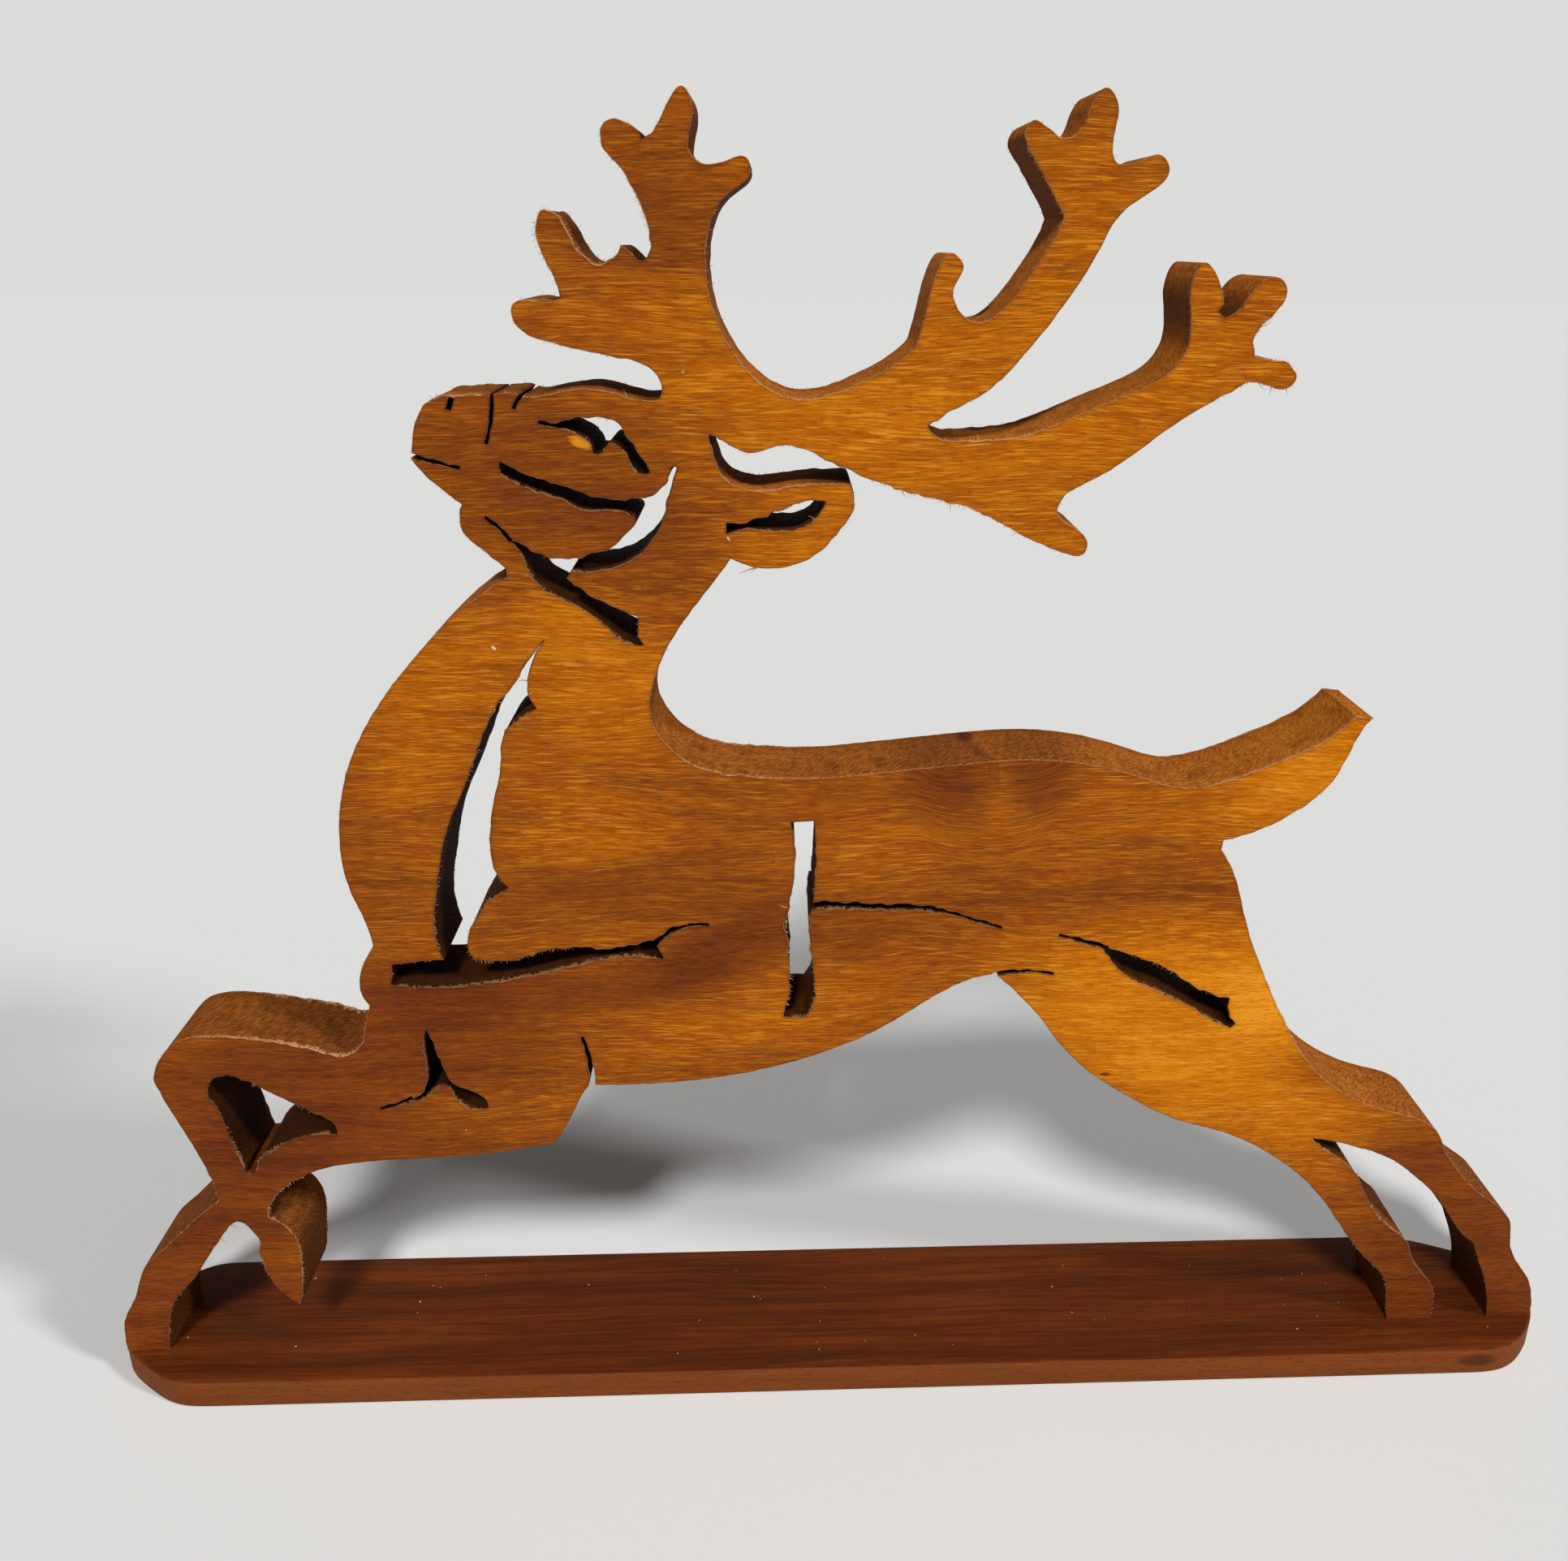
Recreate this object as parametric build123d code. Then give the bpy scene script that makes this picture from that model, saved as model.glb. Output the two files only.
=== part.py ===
from build123d import *
import os

# Leaping reindeer, scroll-sawn from one board and standing on a thin base plate.
# Millimetres. X runs along the base with the nose towards -X, Y runs from the front face of the
# board to its back, Z is up. The origin is the middle of the underside of the base.

# ---- driving dimensions ------------------------------------------------------------------------
PATTERN_SCALE = 1.0          # size of the animal, 1.0 makes it 246 mm tall
BOARD_THICKNESS = 18.0       # board that the animal is sawn from
BASE_THICKNESS = 6.4         # base plate
BASE_DEPTH = 38.0            # base plate, front to back
HOOF_OVERHANG = 3.0          # base past the outermost hoof at each end
BASE_EASE = 0.6              # sanded edge of the base plate

SAW_KERF = 0.8               # width of one pass of the saw blade
KERF_TIP = 0.5               # width where a saw pass runs out

SCREW_DIAMETER = 2.9         # outside of the thread
SCREW_ROOT = 2.1             # core between the threads
SCREW_LENGTH = 17.0          # head to point
SCREW_PITCH = 1.3            # from one thread ring to the next
SCREW_POINT = 3.0            # length of the pointed end
SCREW_PLAIN = 5.0            # plain shank under the head
SCREW_TIP = 0.3              # blunt end of the point
HEAD_DIAMETER = 5.5          # countersunk head
HEAD_HEIGHT = 1.8            # cone under the head
HEAD_RECESS = 0.4            # head below the underside of the base
SLOT_WIDTH = 0.9             # driver slot
SLOT_DEPTH = 0.8             # driver slot
SCREW_CLEARANCE = 0.1        # between a screw and the wood round it

# End corners of the base plate, each rounded by hand and a little different: where the curve
# leaves the long edge, and where it is CORNER_LEVEL of the half depth out. Both from the tip.
CORNER_LEVEL = 0.75
CORNERS = {
    "left front": (20.0, 9.6),
    "left back": (15.0, 6.4),
    "right front": (16.5, 6.8),
    "right back": (27.0, 12.2),
}

# Soles of the three hooves that touch the base: left and right corner, and how far the screw
# stands from the middle of the sole so that it stays inside the slanting leg.
HOOVES = {
    "fore": (-153.7, -144.8, 1.3),
    "near_hind": (120.4, 130.0, -1.5),
    "far_hind": (142.9, 152.8, -1.6),
}


# ---- outline of the animal ---------------------------------------------------------------------
# Each run goes from one corner up to, but not including, the next corner, which starts the next
# run. A run of one point is a straight cut, any other run is a smooth curve. Pattern heights are
# measured from the soles.
def foreleg_front():
    """Sole of the standing foreleg, up its front, round the raised knee and into the chest."""
    return [
        [(-153.7, 0), (-153.6, 4), (-152.9, 8.2), (-150, 13.6), (-148.4, 17.8), (-146.6, 21.7),
         (-142.5, 25.8), (-138.5, 29.6), (-134, 34)],
        [(-129, 38), (-130, 44.3), (-132.4, 52)],
        [(-137.5, 66.9), (-136.6, 70), (-134.6, 73), (-132, 75.4), (-128.4, 76.6), (-121, 76.4),
         (-111.4, 74.8), (-104.6, 73.1), (-100.6, 71.8), (-97.6, 72.8), (-95.4, 76.4)],
        [(-93.7, 83), (-94.8, 85.4), (-94.9, 88.6)],
        [(-91.6, 95.4), (-92, 99.4), (-94.2, 106.4), (-95.4, 115.5), (-94.2, 125.8),
         (-90.3, 136.4), (-84.2, 145.9), (-76.3, 155.1), (-68, 162.8)],
    ]


def muzzle():
    """Chin, lips, muzzle and the bridge of the nose, up to the fork under the left antler."""
    return [
        [(-60.5, 167.6)],
        [(-60.7, 169.3), (-64, 172)],
        [(-67.6, 175.4), (-67.9, 177.8)],
        [(-67.4, 180.2), (-70.6, 182.9), (-73.8, 186)],
        [(-75.2, 188), (-74.5, 192.2), (-73.2, 195.6), (-70.6, 198), (-66.6, 198.5),
         (-61.3, 198.7)],
        [(-57, 198.9), (-55.2, 198.3), (-50, 199), (-45, 199.6), (-41, 199), (-37.2, 197.9)],
    ]


def left_antler():
    """Left antler: two side tines, a nub, three top tines and the outer side of the stalk."""
    return [
        [(-33, 198), (-32.5, 199.8), (-34.2, 202.7), (-39.5, 204.6), (-47, 206.1),
         (-53, 207.6), (-56.3, 210.2), (-56.2, 212.9), (-52, 213.6)],
        [(-48.6, 213.9), (-49.1, 216.4), (-51.4, 221.2), (-52, 225), (-50.2, 227.3),
         (-48.2, 226.2), (-45.4, 221.5), (-42.4, 219.2), (-40, 219.8)],
        [(-38.4, 222.1), (-37, 221.2), (-35, 219.7), (-33.7, 221.2), (-34.4, 226.4),
         (-38.2, 234), (-40.8, 237.4), (-39.9, 240.3), (-36.7, 240.3)],
        [(-34.3, 237.9), (-31.9, 239.8), (-29.7, 243.8), (-27.7, 245.5), (-26.3, 243.5),
         (-26.7, 239)],
        [(-27, 236.4), (-24.2, 234.3), (-20.6, 235), (-17.9, 235.4), (-17.2, 233.5),
         (-20.6, 230.1), (-23.6, 226), (-24.7, 219), (-23.6, 212), (-20.4, 205.5),
         (-15.4, 200.2), (-8.6, 198), (-1.4, 199.8), (5, 202.8)],
    ]


def upper_right_antler():
    """Front branch of the right antler: one low tine and three top tines."""
    return [
        [(9.8, 206.4), (11.2, 211), (13, 218), (15.6, 221.3), (17.4, 219.6), (16.2, 216),
         (17.2, 212.2), (20.2, 210.5), (24, 212.3), (28.7, 218), (32.2, 223.4)],
        [(33.6, 226.8), (31.4, 230.8), (28.2, 235.7), (26.6, 239.4), (28, 241.2), (30.4, 240)],
        [(32.9, 238.7), (35.6, 240), (37.2, 244), (39.3, 246), (41.1, 244.2), (41.1, 239.6)],
        [(41.5, 235.3), (45.2, 235.3), (48.9, 236.2), (50.4, 234.2), (47.6, 230.8),
         (42.9, 227.4), (39.7, 221.7), (34.5, 213.3), (28.4, 205.4), (21.8, 199.1), (15.6, 195.8)],
    ]


def lower_right_antler():
    """Rear branch of the right antler: three top tines, and a fourth one that points down."""
    return [
        [(12.4, 193.6), (14, 191.9), (20, 191.2), (27.4, 191.8), (37, 195.1), (47.1, 199.3),
         (53.2, 202.6), (55.8, 206.6), (55.8, 212.6), (55.8, 217.4), (57.6, 220.1),
         (59.6, 218.4)],
        [(60.6, 212.6), (62.3, 211.6), (64.7, 213.5), (67, 216.8), (69.8, 218), (71.7, 216.6),
         (70.6, 212.6), (67.4, 208.9)],
        [(67.6, 205.3), (71.6, 204.6), (74.4, 203.3), (75, 201.2), (73.2, 200.1), (68.4, 201),
         (63, 198.9), (55, 194.1), (47.6, 188.5), (41, 184.4), (36.6, 181.6)],
        [(35.5, 179.3), (38.2, 176.5), (41.2, 173.7), (40.6, 171.6), (36.6, 171.9),
         (30.8, 174.3), (24.6, 177.7), (17.6, 180.4), (9.4, 182.3), (1.4, 185.2), (-5.2, 188),
         (-10.2, 190.1), (-14.4, 189.9), (-18.8, 189.1), (-21.6, 190.6)],
    ]


def ear_and_back():
    """The ear, the back of the neck and the long line of the back up to the tail."""
    return [
        [(-24.8, 192), (-24, 187.9), (-21.6, 184.1), (-17.4, 182.8), (-11, 183.4), (-5, 183.9)],
        [(-0.8, 183.9), (0, 181.6), (-3.2, 174.9), (-8.6, 170.4), (-15, 169.1)],
        [(-21.6, 170.9), (-26.3, 164.6), (-32.2, 156.6), (-35.8, 148.6), (-36.8, 142.8),
         (-34.4, 136.9), (-28, 131.9), (-18.8, 130.1), (-8, 129.6), (6, 130.7), (20.7, 132.2),
         (33, 133), (45.3, 131.8), (54.5, 129.3), (62.4, 127.1), (70.5, 128.3), (80.8, 132.3),
         (88.2, 136)],
    ]


def tail_and_far_hind_leg():
    """Tail, rump and the far hind leg down to its sole."""
    return [
        [(94, 141)],
        [(97.3, 140.7), (95, 137.4), (93.4, 133), (90.4, 127), (85, 122.1), (78, 118.2)],
        [(71.6, 116.2)],
        [(71.2, 114.2), (74.9, 107.8), (77.9, 98.5), (82.1, 88.5), (86.4, 79.5), (90.8, 71.6),
         (96, 64.5), (103.4, 58.6), (113.4, 54.2), (120.6, 51.8), (123.7, 49.4)],
        [(126, 45), (130.2, 39), (135.6, 33.4), (141.4, 28.9), (144, 25.2), (144.9, 20),
         (147.3, 14.8), (150.4, 10.6), (152.3, 5.4)],
        [(152.8, 0)],
    ]


def near_hind_leg():
    """Inside of the far hind leg, the fork between the legs and the near hind leg."""
    return [
        [(142.9, 0), (142.1, 5.8), (140.4, 11.2), (138.2, 16.4)],
        [(136.6, 20.4), (132.9, 23.6), (129.6, 28.4), (126.2, 32.9), (120.8, 38.1),
         (114.6, 42.7), (108.8, 45.1), (103, 46.8)],
        [(97.4, 48), (101, 44.9), (106, 41.2), (109.5, 36.4), (112.3, 30.8), (117.4, 25.1)],
        [(121.5, 21.3), (122.8, 18.4), (125.2, 13.8), (129.2, 8.8), (130.2, 4.6)],
        [(130, 0)],
        [(120.4, 0), (119.4, 5.2), (118.1, 11.4), (113.6, 16.4), (108.4, 22.9), (102.1, 31.9),
         (96.2, 38.6), (88, 44.9), (78.6, 49.9), (69, 53), (59.6, 57.9), (50.6, 64),
         (43.4, 71), (38.8, 77.4), (34.2, 82.8)],
    ]


def belly_and_foreleg():
    """Belly, the folded foreleg with its hanging hoof, and the inside of the standing foreleg."""
    return [
        [(28.9, 87.9), (22.6, 86.4), (14.2, 81.4), (5, 75.4), (-8, 69.8), (-22, 66.1),
         (-36, 64.4)],
        [(-50.6, 64.1)],
        [(-52.2, 64.6), (-54.4, 60.4), (-57, 55)],
        [(-59.8, 50.5), (-66, 49.4), (-73.4, 48.2), (-86, 47.4), (-99, 46.7), (-108, 45),
         (-114.8, 41.4), (-118.7, 37.4)],
        [(-119.4, 33.5), (-116.4, 31.3), (-114.5, 27.4), (-114.4, 21), (-115, 15)],
        [(-115.9, 11), (-119.2, 14.8), (-121.8, 20)],
        [(-122.5, 26.2), (-123.8, 30.9), (-126, 32.7), (-129.2, 29.7), (-133, 24.4),
         (-137.4, 18), (-141.6, 13.1), (-143.6, 8)],
        [(-144.8, 0)],
    ]


# ---- cut-outs ----------------------------------------------------------------------------------
def eye_opening():
    """The eye: a lens shape with a pupil standing up from its lower lid."""
    return [
        [(-51, 193.4), (-48, 194.6), (-44.2, 195), (-40.4, 194), (-38, 190.6), (-36.2, 188)],
        [(-35.1, 185.6)],
        [(-36, 185.5), (-38.4, 187.4), (-40.2, 190.2), (-41.6, 190.8), (-42.8, 189.4)],
        [(-44.4, 188.9), (-46, 191.6), (-48.2, 192.7)],
    ]


def jaw_opening():
    """Cheek line, curve of the jaw and the band of the throat, all one opening."""
    return [
        [(-30.5, 186.6), (-32, 182), (-33.8, 176.4), (-37.6, 171.6), (-43.4, 169)],
        [(-49.3, 168.9)],
        [(-50.4, 167.4), (-46.8, 164.6), (-41.6, 162)],
        [(-38.4, 160.4)],
        [(-38.4, 156.9)],
        [(-37.5, 155.3), (-39.8, 155.6), (-44.8, 159.5), (-51.4, 163.8), (-55.8, 167),
         (-57.4, 170.8)],
        [(-59.8, 174.4), (-56, 172.5), (-52.6, 171), (-47.4, 171.2), (-42.4, 173),
         (-39, 175.6), (-37.8, 177.6), (-39.4, 178.9), (-43.4, 179.3)],
        [(-47.4, 179.7), (-52.4, 181.9), (-57.9, 184.1)],
        [(-60.6, 185.6)],
        [(-60.4, 187.5), (-55.8, 185.4), (-50.4, 183.7), (-45.4, 181.7), (-39.4, 181.1),
         (-34.8, 182)],
        [(-32.3, 184.1)],
        [(-31.2, 186.8)],
    ]


def ear_opening():
    """Inside of the ear."""
    return [
        [(-22.2, 177.1)],
        [(-22.2, 175.3), (-15.4, 175.9), (-9.6, 176.1), (-6.4, 178.2)],
        [(-5.1, 180.8), (-11, 180), (-16, 178)],
    ]


def foreleg_opening():
    """Tall gap between foreleg and chest that ends in the long slot across the chest."""
    return [
        [(-55, 156.3), (-60.3, 149.4), (-65.4, 142.1), (-70.6, 130.2), (-75.2, 120.2),
         (-78.2, 108.5), (-79.5, 98.4)],
        [(-78.4, 92.8), (-83.7, 92.4)],
        [(-88.3, 91.8)],
        [(-88.9, 87.5), (-79, 86.9), (-70.4, 87.6), (-57.4, 90.1), (-45, 92.9)],
        [(-36.2, 92.3)],
        [(-37.4, 96.2), (-42.2, 95.6), (-47.4, 94.6), (-55, 95), (-63, 93.1)],
        [(-72.6, 92.7), (-73.6, 96.6), (-71.6, 101.4)],
        [(-69.6, 104.7), (-67.2, 106.4)],
        [(-64.9, 107.9), (-67.1, 111.3), (-67.6, 116.6), (-66.2, 126), (-64.4, 133.2),
         (-63.6, 138.4), (-60.6, 141.6)],
        [(-57.2, 143.6), (-58.6, 146.8), (-58, 151)],
    ]


def body_slot():
    """Upright slot through the middle of the body, wider towards its foot."""
    return [
        [(-11.3, 120.8), (-10.6, 112), (-11.4, 105.2), (-12.3, 101.2), (-11.8, 92), (-12, 83.6)],
        [(-13, 79.2)],
        [(-8.6, 78.9), (-6.8, 84), (-7.3, 92.4), (-8, 98.4)],
        [(-7.2, 104), (-6.7, 112)],
        [(-7, 121)],
    ]


def thigh_opening():
    """Long slanting opening in the thigh."""
    return [
        [(50, 93.9), (56.6, 91.4), (64.2, 87.8), (70.2, 83.9)],
        [(76.3, 81.8), (76.4, 79)],
        [(78.1, 75.9)],
        [(77.2, 75), (71, 78.3), (62.4, 83.3), (54.4, 87.7)],
    ]


def elbow_opening():
    """Three-pointed cut where the folded foreleg joins the chest."""
    return [
        [(-83.2, 77.3), (-84, 73), (-84, 66)],
        [(-88.2, 61.3), (-84.6, 62.2), (-81.8, 64.7)],
        [(-78.8, 61.4), (-76.3, 59.1)],
        [(-72.6, 59.2), (-73.6, 61.9), (-79.4, 65.2)],
        [(-80.2, 67), (-81.4, 71.2)],
    ]


def knee_opening():
    """Rounded triangle inside the folded foreleg."""
    return [
        [(-127.4, 63), (-126, 66.7), (-123.4, 67.8), (-120, 66.6), (-113, 62.4),
         (-106.6, 58.2), (-103.6, 55.6)],
        [(-103.3, 53.7), (-109.4, 53.4), (-114.8, 51.3), (-119.2, 48)],
        [(-121, 44.4)],
        [(-122.6, 44.4), (-124, 51), (-125.4, 57.6)],
    ]


CUT_OUTS = [eye_opening, jaw_opening, ear_opening, foreleg_opening, body_slot, thigh_opening,
            elbow_opening, knee_opening]

# Single passes of the saw: points along the middle of the cut, width at its start and at its end.
SAW_PASSES = {
    "first_nostril_line": ([(-67.5, 198), (-68.3, 196.1)], SAW_KERF, SAW_KERF),
    "nostril_line": ([(-60.8, 199.5), (-61.2, 195.4), (-62.4, 190.5)], KERF_TIP, KERF_TIP),
    "last_nostril_line": ([(-55.4, 199.2), (-56.6, 197.8), (-57.4, 196.3)], KERF_TIP, KERF_TIP),
    "mouth": ([(-75.8, 188.8), (-72, 187.6), (-67.2, 186.5)], SAW_KERF, KERF_TIP),
    "eye_corner": ([(-50.2, 193.5), (-53.4, 194.1)], SAW_KERF, KERF_TIP),
    "chin_line": ([(-59.4, 174.1), (-61.4, 176.2), (-63.6, 178.1)], SAW_KERF, KERF_TIP),
    "chest_line": ([(-37.8, 95.2), (-35, 98), (-32, 99.3), (-27.3, 99.6)], 1.4, KERF_TIP),
    "back_line": ([(-7.6, 103.3), (-2, 103.5), (6, 102.9), (13.2, 102.8), (21, 101),
                   (29.6, 98.2)], 1.4, KERF_TIP),
    "thigh_line": ([(50.8, 93.4), (47, 94.7), (41, 96.4)], SAW_KERF, KERF_TIP),
    "groin_line": ([(28.4, 87.7), (32, 88.4), (36.4, 88.5), (40.4, 87.9)], SAW_KERF, KERF_TIP),
    "elbow_line": ([(-87.4, 61.7), (-90.6, 60.4), (-94, 59.4)], SAW_KERF, KERF_TIP),
    "belly_line": ([(-51.5, 63.4), (-51.5, 67), (-52, 71), (-52.9, 75.2)], 1.3, KERF_TIP),
}


# ---- shapes ------------------------------------------------------------------------------------
def pattern_middle():
    """Pattern X halfway between the outermost corners of the hooves."""
    return (HOOVES["fore"][0] + HOOVES["far_hind"][1]) / 2


def pattern_point(x, z):
    """Pattern point at full size, with the hooves centred on the base."""
    return ((x - pattern_middle()) * PATTERN_SCALE, z * PATTERN_SCALE)


def base_length():
    """Length of the base plate: the spread of the hooves and an overhang at each end."""
    spread = HOOVES["far_hind"][1] - HOOVES["fore"][0]
    return spread * PATTERN_SCALE + 2 * HOOF_OVERHANG


def curve_through(points):
    """Straight line through two points, smooth curve through more."""
    if len(points) == 2:
        return Line(*points)
    return Spline(*points)


def closed_face(runs):
    """Flat face inside a closed chain of runs."""
    edges = []
    for index, run in enumerate(runs):
        corner = runs[(index + 1) % len(runs)][0]
        edges.append(curve_through([pattern_point(*point) for point in run + [corner]]))
    return make_face(edges)


def saw_pass_face(points, start_width, end_width):
    """Flat face of one saw pass: its middle line with half the width on each side."""
    path = curve_through([pattern_point(*point) for point in points])
    steps = 2 * (len(points) - 1)
    left, right = [], []
    for step in range(steps + 1):
        share = step / steps
        half_width = (start_width + (end_width - start_width) * share) / 2
        middle = path @ share
        along = path % share
        across = Vector(-along.Y, along.X) * half_width
        left.append(middle + across)
        right.append(middle - across)
    right.reverse()
    sides = [curve_through(left), curve_through(right)]
    ends = [Line(left[-1], right[0]), Line(right[-1], left[0])]
    return make_face([sides[0], ends[0], sides[1], ends[1]])


def screw_places():
    """X of each hoof screw, by hoof."""
    places = {}
    for hoof, (left, right, offset) in HOOVES.items():
        places[hoof] = pattern_point((left + right) / 2 + offset, 0)[0]
    return places


def screw_hole(x, clearance):
    """Room for one screw: its own envelope, grown all round, open at the underside."""
    radius = SCREW_DIAMETER / 2 + clearance
    head_radius = HEAD_DIAMETER / 2 + clearance
    profile = [
        (0, 0),
        (head_radius, 0),
        (head_radius, HEAD_RECESS),
        (radius, HEAD_RECESS + HEAD_HEIGHT + clearance),
        (radius, HEAD_RECESS + SCREW_LENGTH - SCREW_POINT + clearance),
        (SCREW_TIP / 2 + clearance, HEAD_RECESS + SCREW_LENGTH + clearance),
        (0, HEAD_RECESS + SCREW_LENGTH + clearance),
    ]
    face = Plane.XZ * make_face(Polyline(*profile, close=True))
    return Pos(x, 0, 0) * revolve(face, Axis.Z)


def reindeer_board():
    """The animal: outline and cut-outs sawn through the board, pilot holes in three soles."""
    outline = closed_face(
        foreleg_front() + muzzle() + left_antler() + upper_right_antler()
        + lower_right_antler() + ear_and_back() + tail_and_far_hind_leg() + near_hind_leg()
        + belly_and_foreleg()
    )
    cuts = [closed_face(opening()) for opening in CUT_OUTS]
    cuts += [saw_pass_face(*saw_pass) for saw_pass in SAW_PASSES.values()]
    for cut in cuts:
        outline -= cut
    board = extrude(Plane.XZ * outline, amount=BOARD_THICKNESS / 2, both=True)
    board = Pos(0, 0, BASE_THICKNESS) * board
    for x in screw_places().values():
        board -= screw_hole(x, SCREW_CLEARANCE)
    return board


def base_corner(end, side):
    """One rounded end corner of the base plate, from its long edge to the tip of the end."""
    end_sign = -1 if end == "left" else 1
    side_sign = -1 if side == "front" else 1
    run, inset = CORNERS[f"{end} {side}"]
    tip = base_length() / 2
    half_depth = side_sign * BASE_DEPTH / 2
    points = [
        (end_sign * (tip - run), half_depth),
        (end_sign * (tip - inset), half_depth * CORNER_LEVEL),
        (end_sign * tip, 0),
    ]
    return Spline(*points, tangents=[(end_sign, 0), (0, -side_sign)])


def base_board():
    """Thin base plate with rounded ends, sanded edges and three countersunk holes."""
    left_front, left_back = base_corner("left", "front"), base_corner("left", "back")
    right_front, right_back = base_corner("right", "front"), base_corner("right", "back")
    front = Line(left_front @ 0, right_front @ 0)
    back = Line(left_back @ 0, right_back @ 0)
    outline = make_face([left_front, left_back, back, right_back, right_front, front])
    plate = extrude(outline, amount=BASE_THICKNESS)
    rims = plate.faces().sort_by(Axis.Z)[-1].edges() + plate.faces().sort_by(Axis.Z)[0].edges()
    plate = fillet(rims, BASE_EASE)
    for x in screw_places().values():
        plate -= screw_hole(x, SCREW_CLEARANCE)
    return plate


def thread_profile(top):
    """Zigzag of the thread, from the plain shank up to the point."""
    points = []
    height = HEAD_RECESS + SCREW_PLAIN
    while height + SCREW_PITCH < top:
        points.append((SCREW_ROOT / 2, height))
        points.append((SCREW_DIAMETER / 2, height + SCREW_PITCH / 2))
        height += SCREW_PITCH
    points.append((SCREW_ROOT / 2, height))
    return points


def hoof_screw(x):
    """Countersunk wood screw that comes up through the base into one hoof."""
    point_start = HEAD_RECESS + SCREW_LENGTH - SCREW_POINT
    profile = [
        (0, HEAD_RECESS),
        (HEAD_DIAMETER / 2, HEAD_RECESS),
        (SCREW_ROOT / 2, HEAD_RECESS + HEAD_HEIGHT),
        *thread_profile(point_start),
        (SCREW_TIP / 2, HEAD_RECESS + SCREW_LENGTH),
        (0, HEAD_RECESS + SCREW_LENGTH),
    ]
    screw = revolve(Plane.XZ * make_face(Polyline(*profile, close=True)), Axis.Z)
    slot = Box(HEAD_DIAMETER * 2, SLOT_WIDTH, SLOT_DEPTH * 2)
    return Pos(x, 0, 0) * (screw - Pos(0, 0, HEAD_RECESS) * slot)


def main():
    """Build every piece and write it to parts/NAME.step."""
    os.makedirs("parts", exist_ok=True)
    nodes = {"reindeer_board": reindeer_board(), "base_board": base_board()}
    for hoof, x in screw_places().items():
        nodes[f"{hoof}_hoof_screw"] = hoof_screw(x)
    for name, piece in nodes.items():
        export_step(piece, f"parts/{name}.step")
        print(name, len(piece.solids()), "solid", round(piece.volume, 1), "mm3")


main()
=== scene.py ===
"""Leaping reindeer, scroll-sawn from one board, on a thin base plate.

Every length is in metres in the part's own frame: X along the base, nose towards -X, Y from the
board's front face to its back, Z up.
"""

import logging
import math
from collections.abc import Sequence
from dataclasses import dataclass, field
from enum import Enum
from functools import cached_property
from typing import TypeAlias

import bpy
import numpy as np
from mathutils import Euler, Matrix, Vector
from mathutils.geometry import delaunay_2d_cdt
from mathutils.kdtree import KDTree

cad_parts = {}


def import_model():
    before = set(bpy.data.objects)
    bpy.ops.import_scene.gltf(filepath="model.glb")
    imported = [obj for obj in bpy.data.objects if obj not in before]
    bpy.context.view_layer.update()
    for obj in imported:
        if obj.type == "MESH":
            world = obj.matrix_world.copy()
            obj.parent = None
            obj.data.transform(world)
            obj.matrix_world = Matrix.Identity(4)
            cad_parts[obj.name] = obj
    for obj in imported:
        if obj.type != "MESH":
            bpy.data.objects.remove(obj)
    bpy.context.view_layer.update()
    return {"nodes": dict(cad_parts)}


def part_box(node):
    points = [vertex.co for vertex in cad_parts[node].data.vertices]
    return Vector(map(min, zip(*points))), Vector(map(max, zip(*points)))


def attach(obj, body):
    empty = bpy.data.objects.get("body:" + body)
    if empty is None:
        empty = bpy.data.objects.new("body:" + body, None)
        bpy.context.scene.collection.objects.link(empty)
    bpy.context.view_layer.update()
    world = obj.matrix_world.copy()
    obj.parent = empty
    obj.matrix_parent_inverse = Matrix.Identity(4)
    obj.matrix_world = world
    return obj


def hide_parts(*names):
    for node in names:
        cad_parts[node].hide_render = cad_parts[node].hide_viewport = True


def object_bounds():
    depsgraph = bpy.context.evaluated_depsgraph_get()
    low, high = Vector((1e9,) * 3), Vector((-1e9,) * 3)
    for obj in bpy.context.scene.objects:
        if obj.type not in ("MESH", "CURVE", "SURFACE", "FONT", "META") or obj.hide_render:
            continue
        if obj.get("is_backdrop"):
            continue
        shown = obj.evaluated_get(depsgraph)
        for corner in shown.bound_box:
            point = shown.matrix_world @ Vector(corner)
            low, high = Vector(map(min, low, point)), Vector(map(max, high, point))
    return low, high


LOG = logging.getLogger("reindeer")
MM = 0.001
OCTAVE_GAIN = 0.55  # strength of each finer octave of a noise against the one before
SLIVER = 0.002  # twice the area in mm2 of the largest triangle that a fill may lose
ROUGHEST = 0.36  # size in mm of the worst burrs
TINY = 1e-9
Colour: TypeAlias = tuple[float, float, float]
Value: TypeAlias = "Socket | float | tuple[float, ...]"
Place: TypeAlias = "tuple[Socket, Socket, Socket]"


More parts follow.
